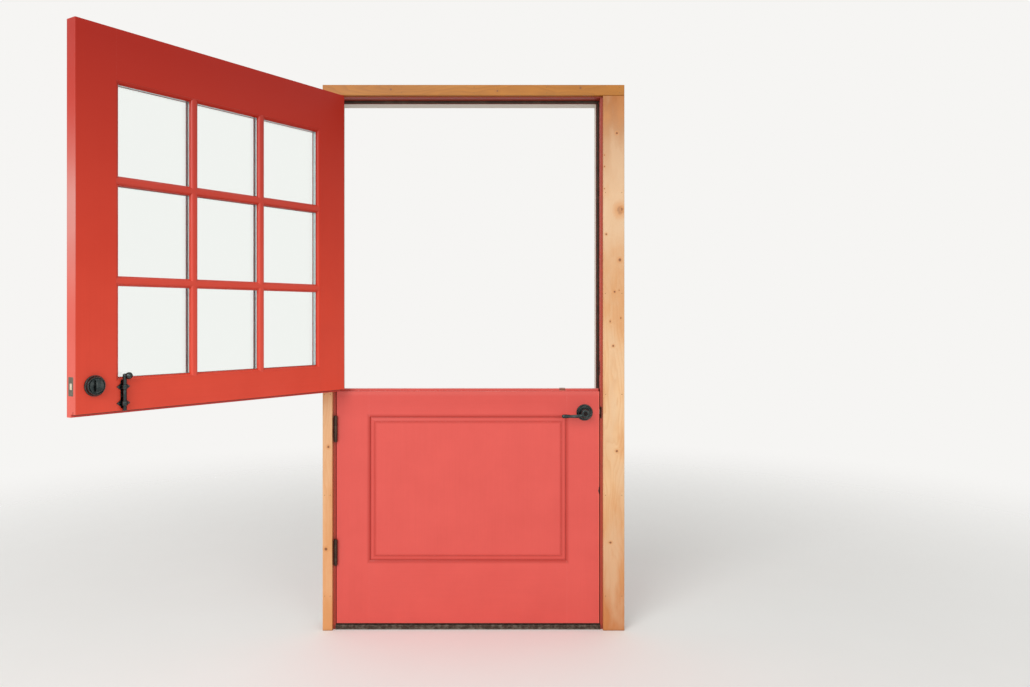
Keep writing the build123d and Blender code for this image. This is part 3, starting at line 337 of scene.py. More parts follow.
@dataclass(frozen=True)
class BrushedEnamel(Finish):
    """Alkyd enamel on softwood, laid off with a brush along each member.

    The eye gets a satin film with faint strokes along the grain, slow mottling, a chalkier
    and pinker red where the weather reaches it, and a pale line along each arris, partly wear
    and partly a painted highlight. Painted light and shade are laid in too: a lighter foot and a
    deeper head on the room side, shade in corners and mouldings, and highlights on the lock
    edge and on the lower leaf's top.
    """

    weathered: str = "#dd554c"
    sheltered_and_shaded: str = "#d53f28"
    foot: str = "#e54e38"
    shade: str = "#a91d08"
    primer: str = "#f3b7ac"
    highlight_pink: str = "#d5b5ae"
    bare: str = "#4a2a22"
    grain: Grain = Grain.UPRIGHT
    stroke_width: float = 6.0
    stroke_length: float = 340.0
    mottle: float = 170.0
    peel: float = 2.6
    room_half: Span = (24.0, 36.0)
    lock_edge: Span = (528.5, 529.5)
    ledge: Span = (850.0, 920.0)
    foot_light: Span = (950.0, 1450.0)
    eaves: Span = (1450.0, 2120.0)
    highlight_level: float = 1590.0
    highlight_reach: float = 340.0
    highlight_fade: Span = (1740.0, 1620.0)
    highlit_above: float | None = None
    sheen_begins: Span = (-27.0, -17.0)
    sheen_full: Span = (0.0, 4.0)
    roughness: float = 0.33
    specular: float = 0.5
    arris: float = 2.2
    arris_wear_and_highlight: float = 0.3
    corner: float = 16.0
    grime_and_shade: float = 0.22
    opening: Opening | None = None
    chips: tuple[Spot, ...] = ()

    def lay(self, s: Surface) -> None:
        """Lays the enamel, its weathering and its wear.

        Args:
            s: the material.
        """
        # Bristle marks are about 1 mm wide; they are drawn 6 mm wide so that they show.
        strokes = s.uneven(self.grain.lengths(self.stroke_width, self.stroke_length), 4.0, 0.6)
        mottle = s.uneven(self.mottle, 5.0, 0.55)
        peel = s.uneven(self.peel, 2.0)

        # The lock edge takes the room side's colour, with its painted light and shade, and a pale painted
        # highlight over it.
        edge = s.node("MapRange", (s.x, *self.lock_edge))
        inward = s.node("MapRange", (s.y, *self.room_half))
        inward = s.node("Math", (inward, edge), operation="MAXIMUM")
        # Painted light and shade on the room side: lighter at the foot, where light comes up from
        # the ground, and deep red at the head, in the shade of the eaves.
        inner = s.tinted(
            self.foot, Tint(self.sheltered_and_shaded, s.z, self.foot_light), Tint(self.shade, s.z, self.eaves)
        )
        # The outside red is laid a little deeper from 850 mm up, over the top of the lower leaf and the
        # whole upper leaf.
        outer = s.tinted(self.weathered, Tint(self.shade, s.z, self.ledge, 0.15))
        # The room side's red is deeper than the outside's: partly paint that the weather has not reached,
        # partly painted shade.
        red = s.tinted(
            outer,
            Tint(inner, inward),
            Tint(self.highlight_pink, self.edge_highlight(s, edge)),
            Tint(self.shade, mottle, (0.3, 0.7), 0.15),
            Tint(self.shade, strokes, (0.4, 0.75), 0.05),
        )

        # Painted shade and soiling: the deep red is laid in the corners where pieces meet and along the
        # lines of the mouldings.
        dirt_and_shade = s.hollow(self.corner, (0.95, 0.25), self.grime_and_shade)
        for line in self.moulding_lines(s):
            dirt_and_shade = s.node("Math", (dirt_and_shade, line), operation="MAXIMUM")
        # Pale primer along the arrises where the strokes let it through: partly wear, partly a painted
        # highlight on their rounding.
        arris = s.arris(self.arris, (0.985, 0.80), self.arris_wear_and_highlight)
        patchy = s.node("MapRange", (strokes, 0.42, 0.62))
        worn = s.node("Math", (arris, patchy), operation="MULTIPLY")
        red = s.tinted(red, Tint(self.shade, dirt_and_shade), Tint(self.primer, worn))
        if self.highlit_above is not None:
            # Painted highlight: the sky's sheen on the lower leaf's top edge is laid as pale primer, and a
            # faint band of it lower down.
            for (low, high), share in ((self.sheen_begins, 0.05), (self.sheen_full, 0.78)):
                span = (self.highlit_above + low, self.highlit_above + high)
                red = s.tinted(red, Tint(self.primer, s.z, span, share))
        for reach in s.spots(self.chips, peel):
            red = s.tinted(red, Tint(self.bare, reach, (1.05, 0.8)))

        rough = s.node("MapRange", (mottle, 0.3, 0.7, self.roughness - 0.05, self.roughness + 0.09))
        reliefs = ((strokes, 0.07, 0.5), (peel, 0.08, 0.4))
        s.give(*reliefs, Base_Color=red, Roughness=rough, IOR=1.5, Specular_IOR_Level=self.specular)

    def edge_highlight(self, s: Surface, edge: Socket) -> Socket:
        """How much painted highlight lies on the lock edge.

        Args:
            s: the material.
            edge: 1 on the lock edge and 0 elsewhere.

        Returns:
            The highlight's share, most at its level and none away from the edge.
        """
        level = (s.off(s.z, self.highlight_level), 0.0, self.highlight_reach, 0.34, 0.0)
        edge_highlight = s.node("MapRange", level, interpolation_type="SMOOTHSTEP")
        # Painted highlight: below the eaves' shade the whole edge is laid a little paler.
        paled = s.node("MapRange", (s.z, *self.highlight_fade, 0.0, 0.13))
        edge_highlight = s.node("Math", (edge_highlight, paled), operation="ADD")
        return s.node("Math", (edge_highlight, edge), operation="MULTIPLY")

    def moulding_lines(self, s: Surface) -> list[Socket]:
        """How deep the painted shade and the soiling lie along the mouldings of the opening.

        Args:
            s: the material.

        Returns:
            One value for each line of the opening, 0 away from it.
        """
        if self.opening is None:
            return []
        hole = self.opening
        sides = []
        for axis, middle, half in (
            (s.x, 0.0, hole.half_width),
            (s.z, (hole.low + hole.high) / 2, (hole.high - hole.low) / 2),
        ):
            sides.append(s.node("Math", (s.off(axis, middle), half), operation="SUBTRACT"))
        past = s.node("Math", tuple(sides), operation="MAXIMUM")
        found = []
        for inset, width, depth in hole.lines:
            fall = (s.off(past, -inset), 0.0, width, depth, 0.0)
            found.append(s.node("MapRange", fall, interpolation_type="SMOOTHSTEP"))
        return found


@dataclass(frozen=True)
class JambEnamel(Finish):
    """Jamb timber with two coats: red in the rabbet and off-white on the room's side.

    The eye gets a duller, browner red than the leaves, because the rabbet is in shade, and a
    clean change to warm white where the stop turns into the room.
    """

    red: str = "#ba4632"
    white: str = "#d8d1c4"
    grime_and_shade: str = "#4e1d12"
    grain: Grain = Grain.UPRIGHT
    stroke_width: float = 4.0
    stroke_length: float = 200.0
    blotch: float = 90.0
    corner: float = 20.0
    stop_y: float = 53.2
    soft_line: float = 0.3
    eaves: Span = (1450.0, 2150.0)
    roughness: float = 0.42

    def lay(self, s: Surface) -> None:
        """Lays the two coats, and painted shade with soiling on them.

        Args:
            s: the material.
        """
        # Bristle marks are about 1 mm wide; they are drawn 4 mm wide so that they show.
        strokes = s.uneven(self.grain.lengths(self.stroke_width, self.stroke_length), 4.0)
        room = s.node("MapRange", (s.y, self.stop_y - self.soft_line, self.stop_y + self.soft_line))
        # Painted shade and soiling: the deep brown is laid in blotches in the corners where pieces meet,
        # and less on the room's side.
        near = s.node("AmbientOcclusion", {"Distance": self.corner / METRE}, out="AO", samples=2)
        soiled = s.node("Math", (near, s.uneven(self.blotch, 4.0)), operation="MULTIPLY")
        dirt_and_shade = s.node("MapRange", (soiled, 0.12, 0.42, 0.42, 0.0))
        # The jamb is laid darker towards its head, from 1450 mm up.
        darker_head = s.node("MapRange", (s.z, *self.eaves, 0.0, 0.4))
        dirt_and_shade = s.node("Math", (dirt_and_shade, darker_head), operation="MAXIMUM")
        outside = s.node("MapRange", (room, 0.0, 1.0, 1.0, 0.25))
        dirt_and_shade = s.node("Math", (dirt_and_shade, outside), operation="MULTIPLY")
        colour = s.tinted(self.red, Tint(self.white, room), Tint(self.grime_and_shade, dirt_and_shade))
        s.give((strokes, 0.2, 0.5), Base_Color=colour, Roughness=self.roughness, IOR=1.5)


@dataclass(frozen=True)
class ClearFinishedPine(Finish):
    """Planed pine boards under a clear oil finish.

    The eye gets honey wood with soft darker growth lines that bow round orange-brown knots,
    fine fibres along the board, and a dull sheen. Fibre, wander and patch are sizes across
    and along the grain.
    """

    pale: str = "#e9be8e"
    ring: str = "#c98c54"
    knot: str = "#7a4524"
    halo: str = "#cf8a4a"
    worn: str = "#dfbf9a"
    eaves: str = "#a8662a"
    sill_end: str = "#bb6c2e"
    grain: Grain = Grain.UPRIGHT
    kept_ring: Span = (1100.0, 1340.0)
    paled: Span = (1440.0, 1620.0)
    under_eaves: Span = (1760.0, 2150.0)
    towards_foot: Span = (600.0, 30.0)
    fibre: Span = (2.4, 90.0)
    wander: Span = (95.0, 430.0)
    patch: Span = (70.0, 210.0)
    knot_edge: float = 9.0
    ring_width: float = 17.0
    ring_drift: float = 11.0
    bow: float = 2.6
    bow_reach: float = 4.2
    contrast: float = 0.38
    centre: float = 590.0
    corner: float = 12.0
    knots: tuple[Spot, ...] = ()
    roughness: float = 0.5

    def lay(self, s: Surface) -> None:
        """Lays the wood's colours, its growth lines, knots and wear, and its relief.

        Args:
            s: the material.
        """
        # Fibres are finer than 0.1 mm; they are drawn in bundles of 2.4 mm so that they show.
        fibres = s.uneven(self.grain.lengths(*self.fibre), 5.0, 0.65)
        drift = s.uneven(self.grain.lengths(*self.wander), 2.5)
        cloud = s.uneven(self.grain.lengths(*self.patch), 3.0)
        reaches = s.spots(self.knots, s.uneven(self.knot_edge, 3.0))
        lines = self.growth_lines(s, drift, reaches)
        wood = s.tinted(
            self.pale,
            Tint(self.ring, lines),
            Tint(self.ring, drift, (0.35, 0.7), 0.35),
            Tint(self.ring, fibres, (0.45, 0.8), 0.22),
        )
        # From 1100 mm up the board is laid deeper, from 1440 mm up paler, darker towards the head under the
        # eaves, and more orange towards the foot.
        if self.grain is Grain.UPRIGHT:
            wood = s.tinted(
                wood,
                Tint(self.ring, s.z, self.kept_ring, 0.5),
                Tint(self.worn, s.z, self.paled, 0.6),
                Tint(self.eaves, s.z, self.under_eaves),
                Tint(self.sill_end, s.z, self.towards_foot, 0.9),
            )
        # Rain and sun have bleached the boards in broad, cloudy patches.
        wood = s.tinted(
            wood,
            Tint(self.worn, cloud, (0.48, 0.68), 0.4),
            Tint(self.halo, cloud, (0.50, 0.34), 0.42),
        )
        for knot, reach in zip(self.knots, reaches):
            wood = s.tinted(
                wood,
                Tint(self.halo, reach, (2.4, 0.9), 0.6),
                Tint(self.knot, reach, (1.0, 0.6), knot.core),
            )
        # Painted shade and soiling: the knot's brown is laid in the corners where the boards meet other
        # pieces.
        wood = s.tinted(wood, Tint(self.knot, s.hollow(self.corner, (0.9, 0.3), 0.5)))
        raised = s.node("Math", (lines, 1.4, fibres), operation="MULTIPLY_ADD")
        s.give((raised, 0.35, 0.7), Base_Color=wood, Roughness=self.roughness, IOR=1.5)

    def growth_lines(self, s: Surface, drift: Socket, reaches: list[Socket]) -> Socket:
        """The darker late wood of each ring, which ends sharply on one side.

        Args:
            s: the material.
            drift: the slow noise that bends the rings.
            reaches: how far each point lies from each knot.

        Returns:
            The late wood's share, up to the contrast.
        """
        across = s.x if self.grain is Grain.UPRIGHT else s.z
        rings = s.node("Math", (across, self.centre), operation="SUBTRACT")
        rings = s.node("Math", (rings, self.ring_width), operation="DIVIDE")
        rings = s.node("Math", (drift, self.ring_drift, rings), operation="MULTIPLY_ADD")
        for reach in reaches:
            # Growth lines bow round a knot over about four of its radii.
            fall = (reach, 0.0, self.bow_reach, self.bow, 0.0)
            fall = s.node("MapRange", fall, interpolation_type="SMOOTHERSTEP")
            rings = s.node("Math", (rings, fall), operation="ADD")
        phase = s.node("Math", (rings,), operation="FRACT")
        late = s.node("Math", (phase, 2.2), operation="POWER")
        early = s.node("MapRange", (phase, 1.0, 0.93))
        lines = s.node("Math", (late, early), operation="MULTIPLY")
        return s.node("Math", (lines, self.contrast), operation="MULTIPLY")


@dataclass(frozen=True)
class OilRubbedBronze(Finish):
    """Cast or pressed brass, chemically blackened and rubbed with oil.

    The eye gets a near-black metal with a soft, slightly green-grey sheen, fine casting
    grain, paler metal where hands have rubbed it, and paler arrises that are partly rubbed
    metal and partly a painted highlight.
    """

    base: str = "#3b4343"
    rubbed: str = "#8b918e"
    hollow: str = "#0f1213"
    cast_grain: float = 1.1
    handling: float = 22.0
    arris: float = 1.1
    corner: float = 11.0
    roughness: float = 0.27

    def lay(self, s: Surface) -> None:
        """Lays the blackened metal and what has rubbed it.

        Args:
            s: the material.
        """
        pits = s.uneven(self.cast_grain, 3.0, 0.6)
        handled = s.uneven(self.handling, 4.0)
        # Paler metal on the arrises: partly rubbing, partly a painted highlight along the ridges.
        edge = s.arris(self.arris, (0.985, 0.78), 0.8)
        patch = s.node("MapRange", (handled, 0.5, 0.75, 0.0, 0.3))
        rubbed = s.node("Math", (edge, patch), operation="ADD", use_clamp=True)
        # The patina has stayed blackest in hollows, where no hand or cloth reaches.
        deep = s.hollow(self.corner, (0.92, 0.45), 0.85)
        metal = s.tinted(self.base, Tint(self.hollow, deep), Tint(self.rubbed, rubbed))
        rough = s.node("MapRange", (handled, 0.3, 0.7, self.roughness - 0.08, self.roughness + 0.1))
        s.give((pits, 0.25, 0.2), Base_Color=metal, Metallic=1.0, Roughness=rough)


@dataclass(frozen=True)
class SatinSteel(Finish):
    """Steel ground with a fine belt, so that faint lines run one way.

    The eye gets a soft grey metal whose highlight smears across the belt lines.
    """

    base: str = "#bcbbb6"
    tarnish: str = "#8d8a80"
    belt_line: float = 1.4
    belt_run: float = 60.0
    cloud: float = 14.0
    roughness: float = 0.3

    def lay(self, s: Surface) -> None:
        """Lays the ground metal and its tarnish.

        Args:
            s: the material.
        """
        # Belt lines are about 0.1 mm apart; they are drawn 1.4 mm apart so that they show.
        lines = s.uneven((self.belt_run, self.belt_line, self.belt_line), 3.0)
        metal = s.tinted(self.base, Tint(self.tarnish, s.uneven(self.cloud, 3.0), (0.4, 0.75), 0.6))
        rough = s.node("MapRange", (lines, 0.3, 0.7, self.roughness - 0.05, self.roughness + 0.12))
        s.give((lines, 0.12, 0.1), Base_Color=metal, Metallic=1.0, Roughness=rough)


@dataclass(frozen=True)
class AnodisedSill(Finish):
    """Extruded aluminium, anodised dark bronze and walked on.

    The eye gets a dark brown metal with draw lines along its length, greyed by dust that
    lies in the flutes and by scuffs across the middle.
    """

    base: str = "#463c35"
    scuff: str = "#776b5e"
    dust: str = "#8f8577"
    draw_line: float = 1.6
    draw_run: float = 300.0
    grit: float = 16.0
    flute: float = 6.0
    roughness: float = 0.42

    def lay(self, s: Surface) -> None:
        """Lays the anodised metal, its scuffs and the dust.

        Args:
            s: the material.
        """
        # Draw lines are about 0.2 mm apart; they are drawn 1.6 mm apart so that they show.
        draw = s.uneven((self.draw_run, self.draw_line, self.draw_line), 3.0)
        lying = s.node("MapRange", (s.uneven(self.grit, 6.0, 0.7), 0.45, 0.7, 0.0, 0.55))
        dusty = s.hollow(self.flute, (0.95, 0.35), 0.5)
        dusty = s.node("Math", (dusty, lying), operation="ADD", use_clamp=True)
        colour = s.tinted(self.base, Tint(self.scuff, draw, (0.5, 0.75), 0.5), Tint(self.dust, dusty))
        bright = s.node("Math", (1.0, dusty), operation="SUBTRACT")
        rough = s.node("MapRange", (dusty, 0.0, 1.0, self.roughness, 0.9))
        s.give((draw, 0.2, 0.2), Base_Color=colour, Metallic=bright, Roughness=rough)


@dataclass(frozen=True)
class FoamSeal(Finish):
    """Foam bulb seal with a moulded skin.

    The eye gets a matt brown with fine pores and a slightly paler, rubbed crown.
    """

    skin: str = "#35291e"
    rubbed: str = "#5a4b3c"
    pore: float = 1.3
    rub: float = 35.0
    roughness: float = 0.82

    def lay(self, s: Surface) -> None:
        """Lays the skin and its pores.

        Args:
            s: the material.
        """
        # Pores are finer than 0.5 mm; they are drawn 1.3 mm wide so that they show.
        pores = s.node("TexVoronoi", {"Vector": s.point, "Scale": 1 / self.pore}, out="Distance")
        colour = s.tinted(self.skin, Tint(self.rubbed, s.uneven(self.rub, 4.0), (0.45, 0.75), 0.5))
        s.give((pores, 0.3, 0.3), Base_Color=colour, Roughness=self.roughness, IOR=1.5)


@dataclass(frozen=True)
class FloatGlass(Finish):
    """Clear float glass with fire-polished faces.

    The eye gets a clean, colourless pane, with a faint green in its depth and reflections
    that waver very slightly.
    """

    tint: str = "#fcfefd"
    wave: float = 120.0
    smear: float = 60.0

    def lay(self, s: Surface) -> None:
        """Lays the clear glass, its waver and the smears on it.

        Args:
            s: the material.
        """
        rough = s.node("MapRange", (s.uneven(self.smear, 5.0), 0.45, 0.8, 0.0, 0.04))
        waver = (s.uneven(self.wave, 1.0), 0.05, 0.5)
        s.give(waver, Base_Color=self.tint, Transmission_Weight=1.0, Roughness=rough, IOR=1.52)


HINGE_CASING_KNOTS = (
    Spot(-568, 2010, 6), Spot(-560, 1560, 5, tall=1.3), Spot(-571, 1180, 6),
    Spot(-562, 742, 5, tall=1.2), Spot(-572, 330, 7),
)
LATCH_CASING_KNOTS = (
    Spot(602, 2008, 5), Spot(552, 1919, 2.6), Spot(552, 1873, 3.0), Spot(552, 1784, 2.6),
    Spot(616, 1697, 15, tall=1.3, core=0.42), Spot(622, 1700, 5, tall=1.6, core=0.6),
    Spot(559, 1600, 4), Spot(614, 1496, 6.5, tall=1.2, core=0.8), Spot(593, 1368, 4.5),
    Spot(611, 1374, 2.4), Spot(575, 1248, 3.0, tall=1.6), Spot(618, 1262, 2.8, tall=1.8),
    Spot(587, 1149, 4.5), Spot(602, 725, 5), Spot(576, 356, 5.5, tall=0.8),
)
HEAD_CASING_KNOTS = (Spot(-310, 2184, 5), Spot(120, 2178, 4), Spot(455, 2190, 5))
LATCH_STILE_CHIPS = (
    Spot(533, 572, 3.2, y=1.0, tall=1.4),
    Spot(532, 561, 4.0, y=1.0, tall=1.8),
    Spot(533, 552, 2.6, y=1.0, tall=1.3),
)
LOWER_LEAF_TOP = 971.5


class Palette:
    """Every finish of the door, each built once and kept by name."""

    def __init__(self) -> None:
        """Lists the finishes."""
        level = Grain.LEVEL
        panelled = {"opening": PANEL_OPENING}
        top_edge = {"highlit_above": LOWER_LEAF_TOP}
        upper = {"swung": True, "specular": 0.3, "arris_wear_and_highlight": 0.1, "grime_and_shade": 0.4}
        listed = (
            BrushedEnamel("lower_stile_enamel", chips=LATCH_STILE_CHIPS, **panelled, **top_edge),
            BrushedEnamel("lower_rail_enamel", grain=level, **panelled),
            BrushedEnamel(
                "lower_top_rail_enamel", grain=level, arris_wear_and_highlight=0.75, grime_and_shade=0.08, **panelled, **top_edge
            ),
            BrushedEnamel("glazing_bar_enamel", swung=True, arris_wear_and_highlight=0.2, grime_and_shade=0.0),
            BrushedEnamel("upper_stile_enamel", **upper),
            BrushedEnamel("upper_rail_enamel", grain=level, **upper),
            JambEnamel("side_jamb_enamel"),
            JambEnamel("head_jamb_enamel", grain=level),
            ClearFinishedPine(
                "hinge_casing_pine", pale="#eab888", ring="#cf8a52", worn="#e6b98c",
                sill_end="#dc9a62", centre=-566.0, knots=HINGE_CASING_KNOTS,
            ),
            ClearFinishedPine("latch_casing_pine", knots=LATCH_CASING_KNOTS),
            ClearFinishedPine(
                "head_casing_pine", pale="#b8741c", ring="#8d5410", worn="#b57a2c", halo="#a56616",
                contrast=0.5, centre=2181.0, grain=level, knots=HEAD_CASING_KNOTS,
            ),
            OilRubbedBronze("lever_bronze"),
            OilRubbedBronze("upper_bronze", swung=True),
            OilRubbedBronze("hinge_bronze", base="#4a3a33", rubbed="#7d6a58", roughness=0.44),
            OilRubbedBronze("strike_bronze", base="#5a3830", rubbed="#7a5446", roughness=0.48),
            OilRubbedBronze("keeper_bronze", base="#94604f", rubbed="#b98e76", roughness=0.42),
            OilRubbedBronze("nail_bronze", base="#8a6844", rubbed="#a98556", roughness=0.6),
            OilRubbedBronze("cylinder_bronze", base="#2b2424", rubbed="#5a5652", roughness=0.34),
            SatinSteel("bolt_steel"),
            SatinSteel("upper_bolt_steel", base="#efe2cc", tarnish="#c9b89c", swung=True),
            SatinSteel("upper_plate_steel", base="#7d776a", tarnish="#55503f", swung=True),
            SatinSteel("spacer_aluminium", base="#d3dedf", tarnish="#bcc8ca", swung=True),
            AnodisedSill("anodised_sill"),
            FoamSeal("frame_seal_foam"),
            FoamSeal("leaf_seal_foam", swung=True),
            FloatGlass("float_glass", swung=True),
        )
        self.finishes: dict[str, Finish] = {finish.name: finish for finish in listed}
        self.built: dict[str, bpy.types.Material] = {}

    def get(self, name: str) -> bpy.types.Material:
        """Builds a material the first time that it is asked for.

        Args:
            name: the finish.

        Returns:
            Its material.
        """
        if name not in self.built:
            self.built[name] = self.finishes[name].build()
        return self.built[name]


def dress(node_name: str, material: bpy.types.Material) -> None:
    """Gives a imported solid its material.

    Args:
        node_name: the solid's node.
        material: the material that it takes.
    """
    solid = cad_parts[node_name]
    if not solid.material_slots:
        solid.data.materials.append(material)
    for slot in solid.material_slots:
        slot.material = material
    log.info("dressed %s in %s", node_name, material.name)


def level_of(node_name: str) -> float:
    """The mid height of a node."""
    low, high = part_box(node_name)
    return (low.z + high.z) / 2 * METRE


@dataclass(frozen=True)
class Seat:
    """Where a screw or nail sits: a point on a face, and that face's normal."""

    x: float
    y: float
    z: float
    normal: Triple


@dataclass(frozen=True)
class FixingHead(ABC):
    """The head of a fixing, made at the origin and facing +Z."""

    head_radius: float = 3.9
    sides: int = 24

    def ring(self, mesh: Mesh, radius: float, height: float) -> Loop:
        """A circle of vertices at one height."""
        turns = [2 * math.pi * i / self.sides for i in range(self.sides)]
        return [mesh.verts.new((radius * math.cos(t), radius * math.sin(t), height)) for t in turns]

    def walls(self, mesh: Mesh, *loops: Loop) -> None:
        """Joins each loop of vertices to the next with faces.

        Args:
            mesh: the mesh that takes them.
            *loops: the loops, from the lowest of the outside inwards.
        """
        for lower, upper in zip(loops, loops[1:]):
            for i in range(len(lower)):
                j = (i + 1) % len(lower)
                mesh.faces.new((lower[i], lower[j], upper[j], upper[i]))

    @abstractmethod
    def build(self, mesh: Mesh) -> None:
        """Adds one head to a mesh.

        Args:
            mesh: the mesh that takes it.
        """


@dataclass(frozen=True)
class CountersunkScrew(FixingHead):
    """The head of a countersunk screw with a cross recess."""

    rim: float = 0.4
    proud: float = 0.15
    sunk: float = 1.2
    recess_length: float = 2.3
    recess_half_width: float = 0.55
    recess_depth: float = 1.0
    recess_floor: float = 0.6

    def cross(self, mesh: Mesh, share: float, height: float) -> Loop:
        """The twelve corners of the cross recess at one height.

        Args:
            mesh: the mesh that takes them.
            share: how large the cross is there, of its mouth.
            height: the height.

        Returns:
            The corners in their order round the cross.
        """
        long, half = self.recess_length * share, self.recess_half_width * share
        corners = []
        for quarter in range(4):
            for x, y in ((long, -half), (long, half), (half, half)):
                turned = Vector((x, y)) @ Matrix.Rotation(-quarter * math.pi / 2, 2)
                corners.append(mesh.verts.new((turned.x, turned.y, height)))
        return corners

    def build(self, mesh: Mesh) -> None:
        """Adds one screw head to a mesh.

        Args:
            mesh: the mesh that takes it.
        """
        foot = self.ring(mesh, self.head_radius - self.sunk, self.proud - self.sunk - self.rim)
        rim = self.ring(mesh, self.head_radius, self.proud - self.rim)
        crown = self.ring(mesh, self.head_radius - self.rim, self.proud)
        mouth = self.cross(mesh, 1.0, self.proud)
        floor = self.cross(mesh, self.recess_floor, self.proud - self.recess_depth)
        self.walls(mesh, foot, rim, crown)
        self.walls(mesh, mouth, floor)
        edges = [mesh.edges.get(pair) for loop in (crown, mouth) for pair in zip(loop, loop[1:] + loop[:1])]
        bmesh.ops.triangle_fill(mesh, use_beauty=True, edges=edges)
        mesh.faces.new(floor)
        mesh.faces.new(foot[::-1])


@dataclass(frozen=True)
class FinishNail(FixingHead):
    """The small domed head of a finish nail, driven flush with the board."""

    head_radius: float = 1.7
    crown: float = 0.25
    sunk: float = 0.8
    sides: int = 14

    def build(self, mesh: Mesh) -> None:
        """Adds one nail head to a mesh.

        Args:
            mesh: the mesh that takes it.
        """
        steps = ((1.0, -self.sunk), (1.0, 0.0), (0.7, self.crown * 0.7), (0.3, self.crown))
        rings = [self.ring(mesh, self.head_radius * share, height) for share, height in steps]
        self.walls(mesh, *rings)
        mesh.faces.new(rings[-1])
        mesh.faces.new(rings[0][::-1])


@dataclass
class FixingSet:
    """A set of like heads on one carrier, made as one piece."""

    name: str
    body: str
    finish: str
    seats: list[Seat]
    head: FixingHead = CountersunkScrew()
    slot: str = "dark_bronze"
    opened: bool = False

    def build(self, material: bpy.types.Material) -> None:
        """Makes the piece and lets it ride on its body.

        Args:
            material: the finish of the heads.
        """
        turner = random.Random(self.name)
        placed = HANGING.opened() if self.opened else Matrix.Identity(4)
        whole = bmesh.new()
        for seat in self.seats:
            one = bmesh.new()
            self.head.build(one)
            turn = Matrix.Rotation(turner.uniform(0, math.pi / 2), 4, "Z")
            lean = Vector(seat.normal).to_track_quat("Z", "Y").to_matrix().to_4x4()
            place = Matrix.Translation(Vector((seat.x, seat.y, seat.z)) / METRE)
            one.transform(placed @ place @ lean @ turn @ Matrix.Scale(1 / METRE, 4))
            piece = bpy.data.meshes.new("one_head")
            one.to_mesh(piece)
            whole.from_mesh(piece)
            bpy.data.meshes.remove(piece)
            one.free()
        bmesh.ops.recalc_face_normals(whole, faces=whole.faces)
        mesh = bpy.data.meshes.new(self.name)
        whole.to_mesh(mesh)
        whole.free()
        made = bpy.data.objects.new(self.name, mesh)
        bpy.context.scene.collection.objects.link(made)
        mesh.materials.append(material)
        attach(made, self.body)
        log.info("made %s: %d heads", self.name, len(self.seats))


@dataclass(frozen=True)
class ButtHinge:
    """A butt hinge, with four staggered screws in each of its leaves."""

    near: float = 13.0
    far: float = 27.0
    outer: float = 37.0
    inner: float = 12.5
    jamb_face: float = -536.6
    door_face: float = -533.4

    def carriers(self, leaf: str, half: str) -> tuple[str, ...]:
        """The nodes of a leaf's two hinges, of their frame halves or their door halves."""
        return tuple(f"{leaf}_{place}_hinge_{half}_leaf" for place in ("top", "bottom"))

    def screws(self, leaf: str, half: str, finish: str) -> list[FixingSet]:
        """The screws of a leaf's top and bottom hinges.

        Args:
            leaf: the leaf of the door, upper or lower.
            half: the half of the hinge, frame or door.
            finish: the finish of the screws.

        Returns:
            One set for each hinge.
        """
        on_door = half == "door"
        face, way = (self.door_face, -1.0) if on_door else (self.jamb_face, 1.0)
        body = f"{leaf}_leaf" if on_door else "frame"
        near, far = self.near, self.far
        rows = ((near, self.outer), (far, self.inner), (near, -self.inner), (far, -self.outer))
        sets = []
        for carrier in self.carriers(leaf, half):
            seats = [Seat(face, y, level_of(carrier) + rise, (way, 0.0, 0.0)) for y, rise in rows]
            opened = on_door and leaf == "upper"
            sets.append(FixingSet(f"{carrier}_screws", body, finish, seats, opened=opened))
        return sets


@dataclass(frozen=True)
class LockEdge:
    """The bevelled lock edge of a leaf, where the face plates lie."""

    edge_x: float = 532.23
    mid_y: float = 22.25
    bevel_degrees: float = 3.0
    screw_rise: float = 22.6
    head_radius: float = 3.4

    def screws(self, case: str, body: str, finish: str, **rest: object) -> FixingSet:
        """The two screws of a lock case's face plate.

        Args:
            case: the node of the lock case.
            body: the body that it rides on.
            finish: the finish of the screws.
            **rest: the set's slot, and whether its leaf stands open.

        Returns:
            The set.
        """
        lean = math.radians(self.bevel_degrees)
        normal = (math.cos(lean), math.sin(lean), 0.0)
        rises = (-self.screw_rise, self.screw_rise)
        seats = [Seat(self.edge_x, self.mid_y, level_of(case) + rise, normal) for rise in rises]
        return FixingSet(f"{case}_screws", body, finish, seats, CountersunkScrew(self.head_radius), **rest)


class SubAssembly(ABC):
    """A part of the door that is dressed and gets its fixings together."""

    @abstractmethod
    def coats(self) -> Coats:
        """The solids that take each finish."""

    @abstractmethod
    def fixings(self) -> list[FixingSet]:
        """The sets of screws and nails that it holds."""

    def build(self, palette: Palette) -> None:
        """Dresses the solids and makes the fixings.

        Args:
            palette: the finishes.
        """
        for finish, node_names in self.coats().items():
            for node_name in node_names:
                dress(node_name, palette.get(finish))
        for fixing in self.fixings():
            fixing.build(palette.get(fixing.finish))
        log.info("finished %s", type(self).__name__)


